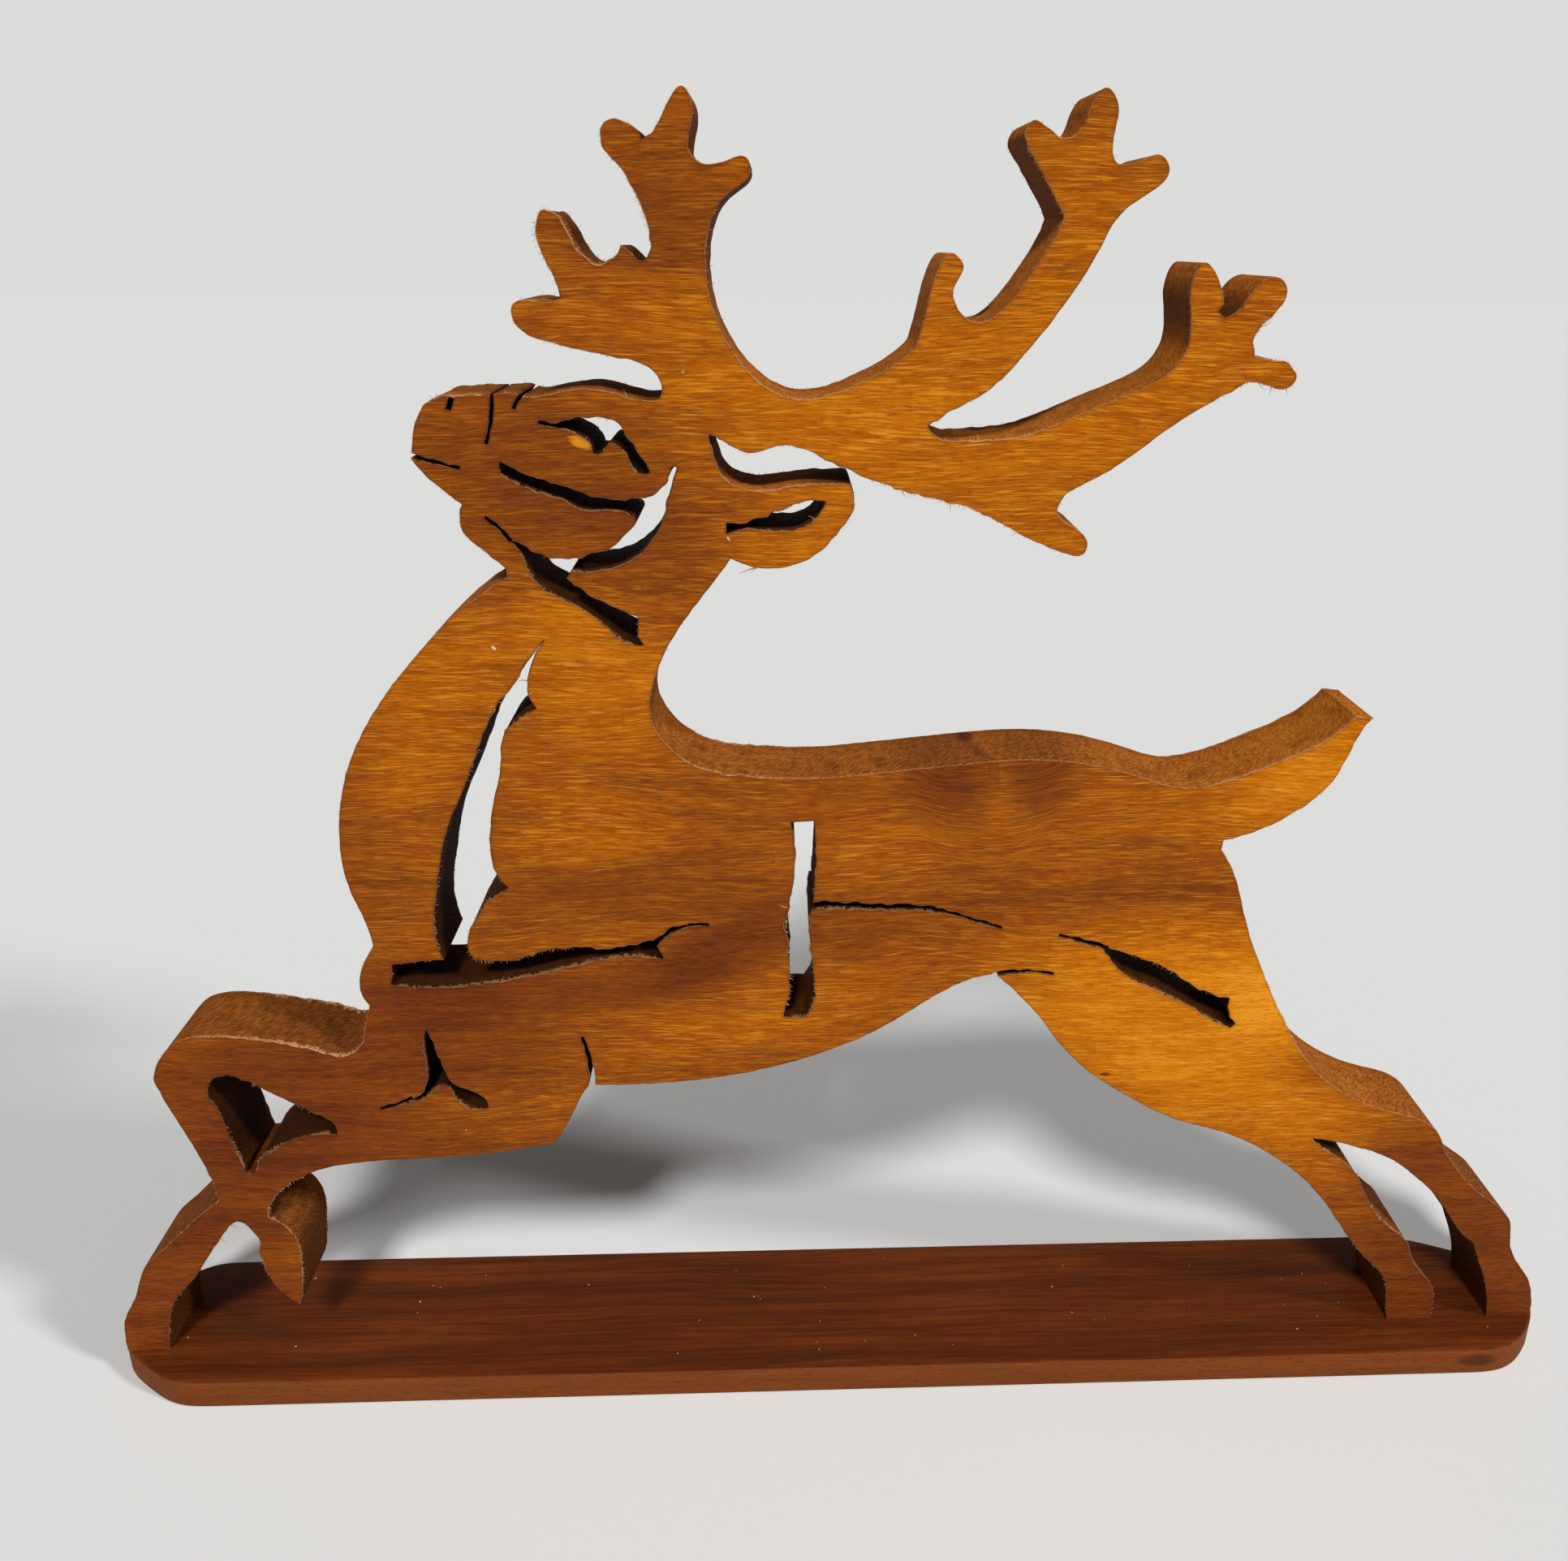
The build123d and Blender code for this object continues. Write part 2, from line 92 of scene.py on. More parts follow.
# ---- shader writing ----------------------------------------------------------------------------
class Socket:
    """A node output with arithmetic: an expression on sockets adds its Math nodes."""

    def __init__(self, recipe: "Recipe", out: bpy.types.NodeSocket) -> None:
        """Wraps one output socket of a recipe's node tree."""
        self.recipe = recipe
        self.out = out

    def _math(self, operation: str, first: Value, second: Value) -> "Socket":
        """One Math node on two values."""
        return self.recipe.node("ShaderNodeMath", {"operation": operation}, {0: first, 1: second})

    def __add__(self, other: Value) -> "Socket":
        """self + other."""
        return self._math("ADD", self, other)

    def __radd__(self, other: Value) -> "Socket":
        """other + self."""
        return self._math("ADD", other, self)

    def __sub__(self, other: Value) -> "Socket":
        """self - other."""
        return self._math("SUBTRACT", self, other)

    def __rsub__(self, other: Value) -> "Socket":
        """other - self."""
        return self._math("SUBTRACT", other, self)

    def __mul__(self, other: Value) -> "Socket":
        """self * other."""
        return self._math("MULTIPLY", self, other)

    def __rmul__(self, other: Value) -> "Socket":
        """other * self."""
        return self._math("MULTIPLY", other, self)

    def __truediv__(self, other: Value) -> "Socket":
        """self / other."""
        return self._math("DIVIDE", self, other)

    def __rtruediv__(self, other: Value) -> "Socket":
        """other / self."""
        return self._math("DIVIDE", other, self)


class Recipe:
    """Writes the node tree of one material or of the world."""

    def __init__(self, name: str, world: bpy.types.World | None = None) -> None:
        """Starts an empty node tree.

        Args:
            name: name of the material.
            world: world to write in place of a new material.
        """
        self.owner = world or bpy.data.materials.new(name)
        self.owner.use_nodes = True
        self.tree = self.owner.node_tree
        self.tree.nodes.clear()

    def node(
        self,
        kind: str,
        settings: dict[str, object] | None = None,
        inputs: dict[str | int, Value] | None = None,
        output: str | int = 0,
    ) -> Socket:
        """Adds one node.

        Args:
            kind: Blender's node type.
            settings: properties of the node, set before its inputs; "stops" fills a colour ramp.
            inputs: value or link of each input socket, by name or number.
            output: output socket to hand back.

        Returns:
            The chosen output as a Socket.
        """
        made = self.tree.nodes.new(kind)
        for key, value in (settings or {}).items():
            if key == "stops":
                self._fill_ramp(made.color_ramp, value)
            else:
                setattr(made, key, value)
        for key, value in (inputs or {}).items():
            if isinstance(value, Socket):
                self.tree.links.new(value.out, made.inputs[key])
            else:
                made.inputs[key].default_value = value
        return Socket(self, made.outputs[output]) if made.outputs else Socket(self, None)

    @staticmethod
    def _fill_ramp(ramp: bpy.types.ColorRamp, stops: Sequence[tuple[float, Colour]]) -> None:
        """Sets the stops of a colour ramp.

        Args:
            ramp: the node's ramp.
            stops: position and colour of each stop, from left to right.
        """
        while len(ramp.elements) < len(stops):
            ramp.elements.new(1.0)
        for element, (position, colour) in zip(ramp.elements, stops):
            element.position = position
            element.color = (*colour, 1.0)

    def attribute(self, name: str) -> Socket:
        """A number that the mesh carries at its points."""
        kind = {"attribute_name": name, "attribute_type": "GEOMETRY"}
        return self.node("ShaderNodeAttribute", kind, output="Fac")

    def place_mm(self) -> Place:
        """The point in millimetres.

        Returns:
            Its X, Y and Z.
        """
        point = self.node("ShaderNodeTexCoord", output="Object")
        parts = [self.node("ShaderNodeSeparateXYZ", None, {0: point}, axis) for axis in "XYZ"]
        return tuple(part / MM for part in parts)

    def noise(self, x: Value, y: Value, z: Value, detail: float = 2.0, seed: float = 0.0) -> Socket:
        """Smooth noise about one unit in size, from 0 to 1.

        Args:
            x: first coordinate.
            y: second coordinate.
            z: third coordinate.
            detail: octaves.
            seed: shift that makes one noise differ from another.

        Returns:
            The noise.
        """
        where = self.node("ShaderNodeCombineXYZ", None, {0: x + seed, 1: y, 2: z})
        sizes = {"Vector": where, "Scale": 1.0, "Detail": detail, "Roughness": OCTAVE_GAIN}
        return self.node("ShaderNodeTexNoise", {"noise_dimensions": "3D"}, sizes)

    def span(self, value: Socket, low: float, high: float) -> Socket:
        """Smooth step from 0 at low to 1 at high."""
        limits = {"Value": value, "From Min": low, "From Max": high}
        return self.node("ShaderNodeMapRange", {"interpolation_type": "SMOOTHSTEP"}, limits)

    def ramp(self, value: Socket, stops: Sequence[tuple[float, Colour]]) -> Socket:
        """Colour ramp."""
        return self.node("ShaderNodeValToRGB", {"stops": stops}, {0: value})

    def blend(self, share: Value, first: Value, second: Value) -> Socket:
        """Mixes two colours.

        Args:
            share: how much of the second.
            first: first colour.
            second: second colour.

        Returns:
            The mixed colour.
        """
        colours = [c if isinstance(c, Socket) else (*c, 1.0) for c in (first, second)]
        inputs = {0: share, 6: colours[0], 7: colours[1]}
        return self.node("ShaderNodeMix", {"data_type": "RGBA"}, inputs, 2)

    def bump(self, height: Socket, depth_mm: float) -> Socket:
        """Bump from a height between 0 and 1 that is depth_mm deep."""
        inputs = {"Height": height, "Distance": depth_mm * MM, "Strength": 1.0}
        return self.node("ShaderNodeBump", None, inputs)

    def finish(self, inputs: dict[str, Value]) -> bpy.types.Material:
        """Closes the tree with a Principled shader.

        Args:
            inputs: value or link of each of the shader's sockets that is set.

        Returns:
            The finished material.
        """
        shader = self.node("ShaderNodeBsdfPrincipled", None, inputs)
        self.node("ShaderNodeOutputMaterial", None, {"Surface": shader})
        return self.owner


def spot(recipe: Recipe, x: Socket, z: Socket, centre: tuple[float, float],
         half: tuple[float, float]) -> Socket:
    """Soft oval mark in millimetres.

    Args:
        recipe: the material it is for.
        x: first coordinate.
        z: second coordinate.
        centre: its middle.
        half: its half sizes.

    Returns:
        1 over the middle of the oval, 0 outside it.
    """
    across, up = (x - centre[0]) / half[0], (z - centre[1]) / half[1]
    return recipe.span(across * across + up * up, 1.0, 0.2)


# ---- finishes ----------------------------------------------------------------------------------
MESH_NUMBERS = ("figure", "sawn", "deep", "along", "torn", "burn")


@dataclass(frozen=True)
class CherryFinish:
    """Oiled cherry: golden to red-brown, fine streaks along X, sawn edges rough and paler."""

    dark: Colour = (0.095, 0.020, 0.006)
    brown: Colour = (0.200, 0.045, 0.0055)
    orange: Colour = (0.340, 0.083, 0.0030)
    golden: Colour = (0.545, 0.160, 0.0025)
    pale: Colour = (0.730, 0.275, 0.014)
    painted_glint: Colour = (0.820, 0.400, 0.060)
    sawn_dark: Colour = (0.215, 0.060, 0.010)
    sawn_light: Colour = (0.570, 0.190, 0.034)
    # dark sawn-wall colour, also the target of painted shade on walls that face down
    end_grain_and_shade: Colour = (0.042, 0.012, 0.004)
    # near black for saw burn and painted shade in narrow cuts
    burnt_and_shaded: Colour = (0.018, 0.005, 0.002)
    fuzz: Colour = (0.640, 0.330, 0.150)
    pin: Colour = (0.10, 0.02, 0.008)
    knot_dark: Colour = (0.03, 0.008, 0.004)
    knot_brown: Colour = (0.07, 0.016, 0.005)
    branch: tuple[float, float] = (26.0, 136.0)
    eyelid: tuple[float, float] = (-45.9, 197.1)
    pin_knot: tuple[float, float] = (52.9, 71.0)
    heart: tuple[float, float] = (23.4, 6.4)
    split: tuple[float, float] = (26.6, 138.0)
    grain_relief: float = 0.35
    saw_relief: float = 1.6
    relief_mm: float = 0.13

    def planed(self, r: Recipe, place: Place, figure: Socket) -> tuple[Socket, Socket, Socket]:
        """Planed face: streaks along X, pale flecks, painted highlight glints, dark pores, the
        eyelid and a pin knot.

        Args:
            r: the material it is for.
            place: the point in millimetres.
            figure: tone of the wood with its painted shade and highlight patches, about 0 to 1.

        Returns:
            Its colour, its streaks and the height of its grain.
        """
        x, y, z = place
        wave = (r.noise(x / 55, y / 40, z / 16, 1.0) - 0.5) * 7
        level = z + wave + spot(r, x, z, self.branch, (15.0, 22.0)) * 2.5
        broad = r.noise(x / 30, y / 6, level / 3.2, 2.0, 3.0)
        streak = r.noise(x / 9, y / 1.6, level / 0.55, 2.0, 11.0)
        fibre = r.noise(x / 2.6, y / 0.6, level / 0.20, 1.0, 23.0)
        tone = figure + (broad - 0.5) * 0.38 + (streak - 0.5) * 0.44 + (fibre - 0.5) * 0.62
        stops = ((0.0, self.dark), (0.28, self.brown), (0.52, self.orange),
                 (0.80, self.golden), (1.0, self.pale))
        wood = r.ramp(tone, stops)
        fleck = r.span(r.noise(x / 4.6, y / 1.2, level / 0.20, 0.0, 41.0), 0.59, 0.74)
        wood = r.blend(fleck * r.span(figure, 0.05, 0.7) * 0.6, wood, self.pale)
        # painted highlight: pale glints of light blended into the wood's colour
        painted_glint = r.span(r.noise(x / 7.5, y / 0.8, level / 0.17, 1.0, 67.0), 0.60, 0.74)
        wood = r.blend(painted_glint * r.span(figure, 0.1, 0.7) * 0.42, wood, self.painted_glint)
        pore = r.span(r.noise(x / 1.5, y / 0.3, level / 0.16, 0.0, 57.0), 0.33, 0.24)
        wood = r.blend(pore * 0.46, wood, self.dark)
        slope = x + (z - self.eyelid[1]) * 0.9
        lid = spot(r, slope, z + (streak - 0.5) * 2, self.eyelid, (2.2, 1.4))
        wood = r.blend(lid * 0.8, wood, self.pale)
        pin = spot(r, x, z, self.pin_knot, (1.3, 0.55))
        wood = r.blend(pin * 0.85, wood, self.pin)
        return wood, streak, streak * 0.35 + fibre * 0.35 - pore * 0.3

    def sawn(self, r: Recipe, place: Place, mesh: dict[str, Socket],
             planed: Socket) -> tuple[Socket, Socket, Socket]:
        """Sawn wall: slanting blade marks, painted shade darker to the back and underneath, and
        darker in narrow cuts from saw burn and painted shade.

        Args:
            r: the material it is for.
            place: the point in millimetres.
            mesh: the numbers that the mesh carries.
            planed: colour of the planed wood.

        Returns:
            Its colour, its blade marks and its height.
        """
        y, along, edge = place[1], mesh["along"], mesh["sawn"]
        slant, cross = along * 0.8 + y * 0.6, y * 0.8 - along * 0.6
        hatch = r.noise(slant / 0.5, cross / 2.2, edge, 2.0, 5.0)
        mark = r.noise(along / 0.9, y / 9, edge, 1.0, 9.0)
        rough = hatch * 0.8 + mark * 0.2
        raw = r.blend(r.span(rough, 0.38, 0.64), self.sawn_dark, self.sawn_light)
        raw = r.blend(0.45, raw, planed)
        # painted shade: the wall darkens towards the back, deeper in the cut
        raw = r.blend(r.span(y + (hatch - 0.5) * 4, 5.5, 9.0) * 0.5, raw, self.brown)
        facing = r.node("ShaderNodeNewGeometry", output="Normal")
        upward = r.node("ShaderNodeSeparateXYZ", None, {0: facing}, "Z")
        # painted shade: walls that face down are darkened
        raw = r.blend(r.span(upward, 0.6, -0.2) * 0.72, raw, self.end_grain_and_shade)
        # darker where the tone is low, the wood's own tone with its painted shade patches
        raw = r.blend(r.span(mesh["figure"], 0.55, 0.0) * 0.5, raw, self.end_grain_and_shade)
        blotch = r.noise(along / 5, y / 6, edge, 2.0, 47.0)
        raw = r.blend(r.span(blotch, 0.5, 0.75) * 0.35, raw, self.end_grain_and_shade)
        # saw burn and painted shade: narrow cuts darkened to near black
        return r.blend(mesh["burn"], raw, self.burnt_and_shaded), hatch, rough

    def knot(self, r: Recipe, place: Place, colour: Socket, hatch: Socket,
             streak: Socket) -> Socket:
        """Knot in the back: a dark heart on the sawn edge with a split running down from it.

        Args:
            r: the material it is for.
            place: the point in millimetres.
            colour: colour of the wood.
            hatch: blade marks, which tear its outline.
            streak: streaks of the planed wood.

        Returns:
            The colour with the knot.
        """
        x, y, z = place
        heart = spot(r, x + (hatch - 0.5) * 2, y, self.heart, (2.0, 3.4)) * r.span(z, 136, 140)
        colour = r.blend(heart * 0.85, colour, self.knot_dark)
        lean = x + (z - self.split[1]) * 0.35 + (y + 9) * 0.25 + (hatch - 0.5) * 3
        split = spot(r, lean, z, self.split, (1.5, 5.5))
        return r.blend(split * (0.10 + streak * 0.45), colour, self.knot_brown)

    def material(self) -> bpy.types.Material:
        """Material of the board, whose mesh carries the numbers that it reads.

        Returns:
            The finished material.
        """
        r = Recipe("oiled_cherry")
        place = r.place_mm()
        mesh = {name: r.attribute(name) for name in MESH_NUMBERS}
        edge, torn = mesh["sawn"], mesh["torn"]
        planed, streak, grain = self.planed(r, place, mesh["figure"])
        raw, hatch, rough = self.sawn(r, place, mesh, planed)
        colour = self.knot(r, place, r.blend(edge, planed, raw), hatch, streak)
        y, z = place[1:]
        tatter = r.noise(mesh["along"] / 0.8, y / 1.1, z / 1.6, 2.0, 31.0)
        frayed = 1 - mesh["deep"] / (0.3 + torn * 2.4) + (tatter - 0.5) * 2.2
        frayed = r.span(frayed, 0.5, 1.0) * (0.2 + torn * 0.6) * (1 - mesh["burn"] * 0.6)
        height = grain * (1 - edge) * self.grain_relief + rough * edge * self.saw_relief
        return r.finish({
            "Base Color": r.blend(frayed, colour, self.fuzz),
            "Roughness": 0.43 + edge * 0.42 + (streak - 0.5) * 0.12,
            "Specular IOR Level": 0.03,
            "Normal": r.bump(height, self.relief_mm),
        })


@dataclass(frozen=True)
class FibreFinish:
    """Raw torn fibre, pale and matt."""

    light: Colour = (0.680, 0.360, 0.160)
    dark: Colour = (0.360, 0.150, 0.050)

    def material(self) -> bpy.types.Material:
        """Material of splinters and fuzz.

        Returns:
            The finished material.
        """
        r = Recipe("torn_fibre")
        x, y, z = r.place_mm()
        tone = r.noise(x / 2.2, y / 2.2, z / 2.2, 2.0, 7.0)
        colour = r.blend(r.span(tone, 0.3, 0.7), self.dark, self.light)
        fine = r.noise(x / 0.3, y / 0.3, z / 0.3, 1.0)
        return r.finish({"Base Color": colour, "Roughness": 0.8 + tone * 0.15,
                         "Normal": r.bump(fine, 0.03)})


@dataclass(frozen=True)
class PlateFinish:
    """Darker red-brown plate, rubbed satin, straight grain along X."""

    dark: Colour = (0.056, 0.012, 0.0030)
    brown: Colour = (0.104, 0.022, 0.0045)
    warm: Colour = (0.172, 0.039, 0.0065)
    edge: Colour = (0.225, 0.064, 0.0150)
    knot_dark: Colour = (0.035, 0.012, 0.006)
    knot: tuple[float, float] = (137.0, 3.6)

    def material(self, top: float) -> bpy.types.Material:
        """Material of the base plate.

        Args:
            top: height of its upper face, in millimetres.

        Returns:
            The finished material.
        """
        r = Recipe("rubbed_base_wood")
        x, y, z = r.place_mm()
        wave = (r.noise(x / 60, y / 14, z / 8, 1.0, 2.0) - 0.5) * 5
        side = y + wave
        broad = r.noise(x / 75, side / 4.5, z / 3.5, 2.0, 3.0)
        streak = r.noise(x / 26, side / 0.7, z / 0.6, 2.0, 13.0)
        fibre = r.noise(x / 6, side / 0.24, z / 0.24, 1.0, 19.0)
        tone = broad * 0.45 + streak * 0.32 + fibre * 0.23
        wood = r.ramp(r.span(tone, 0.32, 0.70),
                      ((0.0, self.dark), (0.45, self.brown), (1.0, self.warm)))
        facing = r.node("ShaderNodeNewGeometry", output="Normal")
        upward = r.node("ShaderNodeSeparateXYZ", None, {0: facing}, "Z")
        flank = r.span(upward * upward, 0.6, 0.1)
        wood = r.blend(flank * (0.35 + streak * 0.5), wood, self.edge)
        pore = r.span(r.noise(x / 1.8, side / 0.2, z / 0.2, 0.0, 29.0), 0.33, 0.25)
        wood = r.blend(pore * 0.5, wood, self.dark)
        knot = spot(r, x + (fibre - 0.5) * 4, z, self.knot, (5.0, 2.0)) * flank
        wood = r.blend(knot * 0.6, wood, self.knot_dark)
        rim = r.span(z, top - 0.5, top)
        wear = r.span(rim * flank + (broad - 0.5), 0.5, 1.1)
        wood = r.blend(wear * 0.3, wood, self.edge)
        return r.finish({
            "Base Color": wood,
            "Roughness": 0.40 + streak * 0.16 + flank * 0.12,
            "Specular IOR Level": 0.04,
            "Normal": r.bump(streak * 0.4 + fibre * 0.5 - pore * 0.5, 0.05),
        })


@dataclass(frozen=True)
class DustFinish:
    """Sawdust specks."""

    light: Colour = (0.66, 0.46, 0.27)
    dark: Colour = (0.36, 0.20, 0.10)

    def material(self) -> bpy.types.Material:
        """Material of the specks.

        Returns:
            The finished material.
        """
        r = Recipe("sawdust")
        x, y, z = r.place_mm()
        tone = r.noise(x / 4, y / 4, z / 4, 1.0, 3.0)
        colour = r.blend(r.span(tone, 0.3, 0.7), self.dark, self.light)
        return r.finish({"Base Color": colour, "Roughness": 0.9})


@dataclass(frozen=True)
class SteelFinish:
    """Zinc-plated screw with turned marks."""

    light: Colour = (0.62, 0.61, 0.58)
    dark: Colour = (0.34, 0.33, 0.31)

    def material(self) -> bpy.types.Material:
        """Material of the hoof screws.

        Returns:
            The finished material.
        """
        r = Recipe("zinc_screw")
        x, y, z = r.place_mm()
        turned = r.noise(x / 6, y / 6, z / 0.12, 2.0)
        stain = r.noise(x / 1.5, y / 1.5, z / 1.5, 3.0, 5.0)
        colour = r.blend(r.span(stain, 0.35, 0.7), self.dark, self.light)
        return r.finish({"Base Color": colour, "Metallic": 1.0,
                         "Roughness": 0.28 + stain * 0.2, "Normal": r.bump(turned, 0.02)})


@dataclass(frozen=True)
class FloorFinish:
    """Plain pale floor that turns into the same plain pale background."""

    colour: Colour = (0.80, 0.80, 0.785)

    def material(self) -> bpy.types.Material:
        """Material of the floor.

        Returns:
            The finished material.
        """
        r = Recipe("pale_floor")
        return r.finish({"Base Color": (*self.colour, 1.0), "Roughness": 0.9,
                         "Specular IOR Level": 0.1})


# ---- small mesh tools --------------------------------------------------------------------------
def new_piece(name: str, points: np.ndarray, faces: Sequence[Sequence[int]],
              material: bpy.types.Material) -> bpy.types.Object:
    """Makes a mesh object that rides on the part's one body.

    Args:
        name: name of the piece.
        points: N by 3 array of points in metres.
        faces: point numbers of each face.
        material: its material.

    Returns:
        The piece.
    """
    mesh = bpy.data.meshes.new(name)
    mesh.from_pydata([tuple(p) for p in points], [], [tuple(f) for f in faces])
    mesh.validate()
    mesh.materials.append(material)
    piece = bpy.data.objects.new(name, mesh)
    bpy.context.scene.collection.objects.link(piece)
    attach(piece, "root")
    return piece


def set_points(piece: bpy.types.Object, name: str, values: np.ndarray) -> None:
    """Stores a number at each point of a piece's mesh for its material to read."""
    layer = piece.data.attributes.new(name, "FLOAT", "POINT")
    layer.data.foreach_set("value", np.asarray(values, np.float32))


def join_rings(first: Sequence[int], second: Sequence[int]) -> list[list[int]]:
    """Four-sided faces between two closed rings of point numbers.

    Args:
        first: point numbers of one ring.
        second: point numbers of the next, as many.

    Returns:
        The faces.
    """
    turned = zip(first, [*first[1:], first[0]], [*second[1:], second[0]], second)
    return [list(face) for face in turned]


def wander(rng: np.random.Generator, count: int, rounds: int) -> np.ndarray:
    """Smoothed random numbers round a closed loop.

    Args:
        rng: where they are drawn from.
        count: how many.
        rounds: how often each is averaged with its neighbours.

    Returns:
        The numbers, from -1 to 1.
    """
    values = rng.uniform(-1.0, 1.0, count)
    for _ in range(rounds):
        values = (np.roll(values, 1) + 2 * values + np.roll(values, -1)) / 4
    return values / max(np.abs(values).max(), TINY)


def face_loops(cad: bpy.types.Object, axis: int, level: float) -> list[np.ndarray]:
    """Closed lines round the flat faces of a CAD mesh that lie at one level, in millimetres.

    Args:
        cad: the CAD solid.
        axis: axis square to the faces, 1 for Y or 2 for Z.
        level: their place along that axis, in metres.

    Returns:
        The lines in the two other axes, wood on the left of each seen from outside the low side.
    """
    first, second = (0, 2) if axis == 1 else (0, 1)
    mesh, numbers, places, edges = cad.data, {}, [], set()
    for face in mesh.polygons:
        corners = [mesh.vertices[i].co for i in face.vertices]
        if any(abs(c[axis] - level) > 1e-6 for c in corners):
            continue
        ids = []
        for c in corners:
            key = (round(c[first] * 1e6), round(c[second] * 1e6))
            if key not in numbers:
                numbers[key] = len(places)
                places.append((c[first] / MM, c[second] / MM))
            ids.append(numbers[key])
        edges.update(zip(ids, ids[1:] + ids[:1]))
    onward = {a: b for a, b in edges if (b, a) not in edges}
    lines = []
    while onward:
        line, here = [], min(onward)
        while here in onward:
            line.append(here)
            here = onward.pop(here)
        lines.append(np.array([places[i] for i in line]))
    return lines


def inside_lines(points: np.ndarray, lines: Sequence[np.ndarray]) -> np.ndarray:
    """Tells which points lie inside an odd number of closed lines.

    Args:
        points: the points, N by 2.
        lines: the closed lines, each M by 2.

    Returns:
        True or False for each point.
    """
    order = np.argsort(points[:, 1])
    across, up = points[order, 0], points[order, 1]
    inside = np.zeros(len(points), bool)
    for line in lines:
        for (ax, az), (bx, bz) in zip(line, np.roll(line, -1, 0)):
            first, last = np.searchsorted(up, (min(az, bz), max(az, bz)))
            if first < last:
                crossing = ax + (up[first:last] - az) * (bx - ax) / (bz - az)
                inside[first:last] ^= across[first:last] < crossing
    result = np.empty_like(inside)
    result[order] = inside
    return result


def regions(triangles: Sequence[Sequence[int]], walls: set[tuple[int, int]]) -> list[int]:
    """Groups triangles that meet across edges other than the walls.

    Args:
        triangles: three point numbers each.
        walls: pairs of point numbers that part one region from the next.

    Returns:
        For each triangle, the number of the one that stands for its region.
    """
    group = list(range(len(triangles)))

    def root(i: int) -> int:
        """Follows a region's triangles to the one that stands for it.

        Args:
            i: a triangle of the region.

        Returns:
            The triangle that stands for the region so far.
        """
        while group[i] != i:
            group[i] = group[group[i]]
            i = group[i]
        return i

    first_at: dict[tuple[int, int], int] = {}
    for number, (a, b, c) in enumerate(triangles):
        for pair in ((a, b), (b, c), (c, a)):
            key = tuple(sorted(pair))
            if key in walls:
                continue
            if key in first_at:
                group[root(number)] = root(first_at[key])
            else:
                first_at[key] = number
    return [root(number) for number in range(len(triangles))]


def fill_lines(lines: Sequence[np.ndarray],
               extra: np.ndarray) -> tuple[np.ndarray, list[int], list[Sequence[int]]]:
    """Fills the space between an outer closed line and its holes with triangles.

    Args:
        lines: the closed lines, each N by 2.
        extra: more points to use inside, M by 2.

    Returns:
        The points used, the number of the given point each stands for (or -1), the triangles.
    """
    flat, edges = [], []
    for line in lines:
        ids = list(range(len(flat), len(flat) + len(line)))
        flat += [Vector(p) for p in line]
        edges += list(zip(ids, ids[1:] + ids[:1]))
    flat += [Vector(p) for p in extra]
    verts, ends, triangles, origins, sources, _ = delaunay_2d_cdt(flat, edges, [], 0, 1e-7, True)
    given = np.vstack([*lines, extra])
    places = np.array([tuple(v) for v in verts])
    for number, origin in enumerate(origins):
        if origin:
            places[number] = given[origin[0]]
    group = regions(triangles, {tuple(sorted(p)) for p, source in zip(ends, sources) if source})
    a, b, c = (places[[t[i] for t in triangles]] for i in range(3))
    sizes = np.abs((b - a)[:, 0] * (c - a)[:, 1] - (b - a)[:, 1] * (c - a)[:, 0])
    inside = inside_lines((a + b + c) / 3, lines)
    largest: dict[int, int] = {}
    for number, size in enumerate(sizes):
        if size > sizes[largest.setdefault(group[number], number)]:
            largest[group[number]] = number
    solid = {top for top, number in largest.items() if inside[number] and sizes[number] > SLIVER}
    kept = [t for number, t in enumerate(triangles) if group[number] in solid]
    return places, [o[0] if o else -1 for o in origins], kept


# ---- the board ---------------------------------------------------------------------------------
@dataclass
class Loop:
    """One closed line of the sawn outline in the X-Z plane, in millimetres.

    points and normals are N by 2, normals point out of the wood, along is the distance run,
    rough the size of the burrs and room the free width beside each point.
    """

    points: np.ndarray
    normals: np.ndarray
    along: np.ndarray
    rough: np.ndarray
    room: np.ndarray


class Side(Enum):
    """Faces of the board, with the sign of their Y."""

    FRONT = -1
    BACK = 1


@dataclass(frozen=True)
class Patch:
    """A soft oval of lighter (+) or darker (-) tone: middle, half sizes, tilt and strength."""

    x: float
    z: float
    length: float
    height: float
    tilt: float
    strength: float

    def at(self, x: np.ndarray, z: np.ndarray) -> np.ndarray:
        """Works out its effect on the tone.

        Args:
            x: first coordinate of the points, in millimetres.
            z: second coordinate of the points, in millimetres.

        Returns:
            What it adds at each point.
        """
        turn = math.radians(self.tilt)
        dx, dz = x - self.x, z - self.z
        u = (dx * math.cos(turn) + dz * math.sin(turn)) / self.length
        v = (dz * math.cos(turn) - dx * math.sin(turn)) / self.height
        return self.strength * np.exp(-((u * u + v * v) ** 1.6))


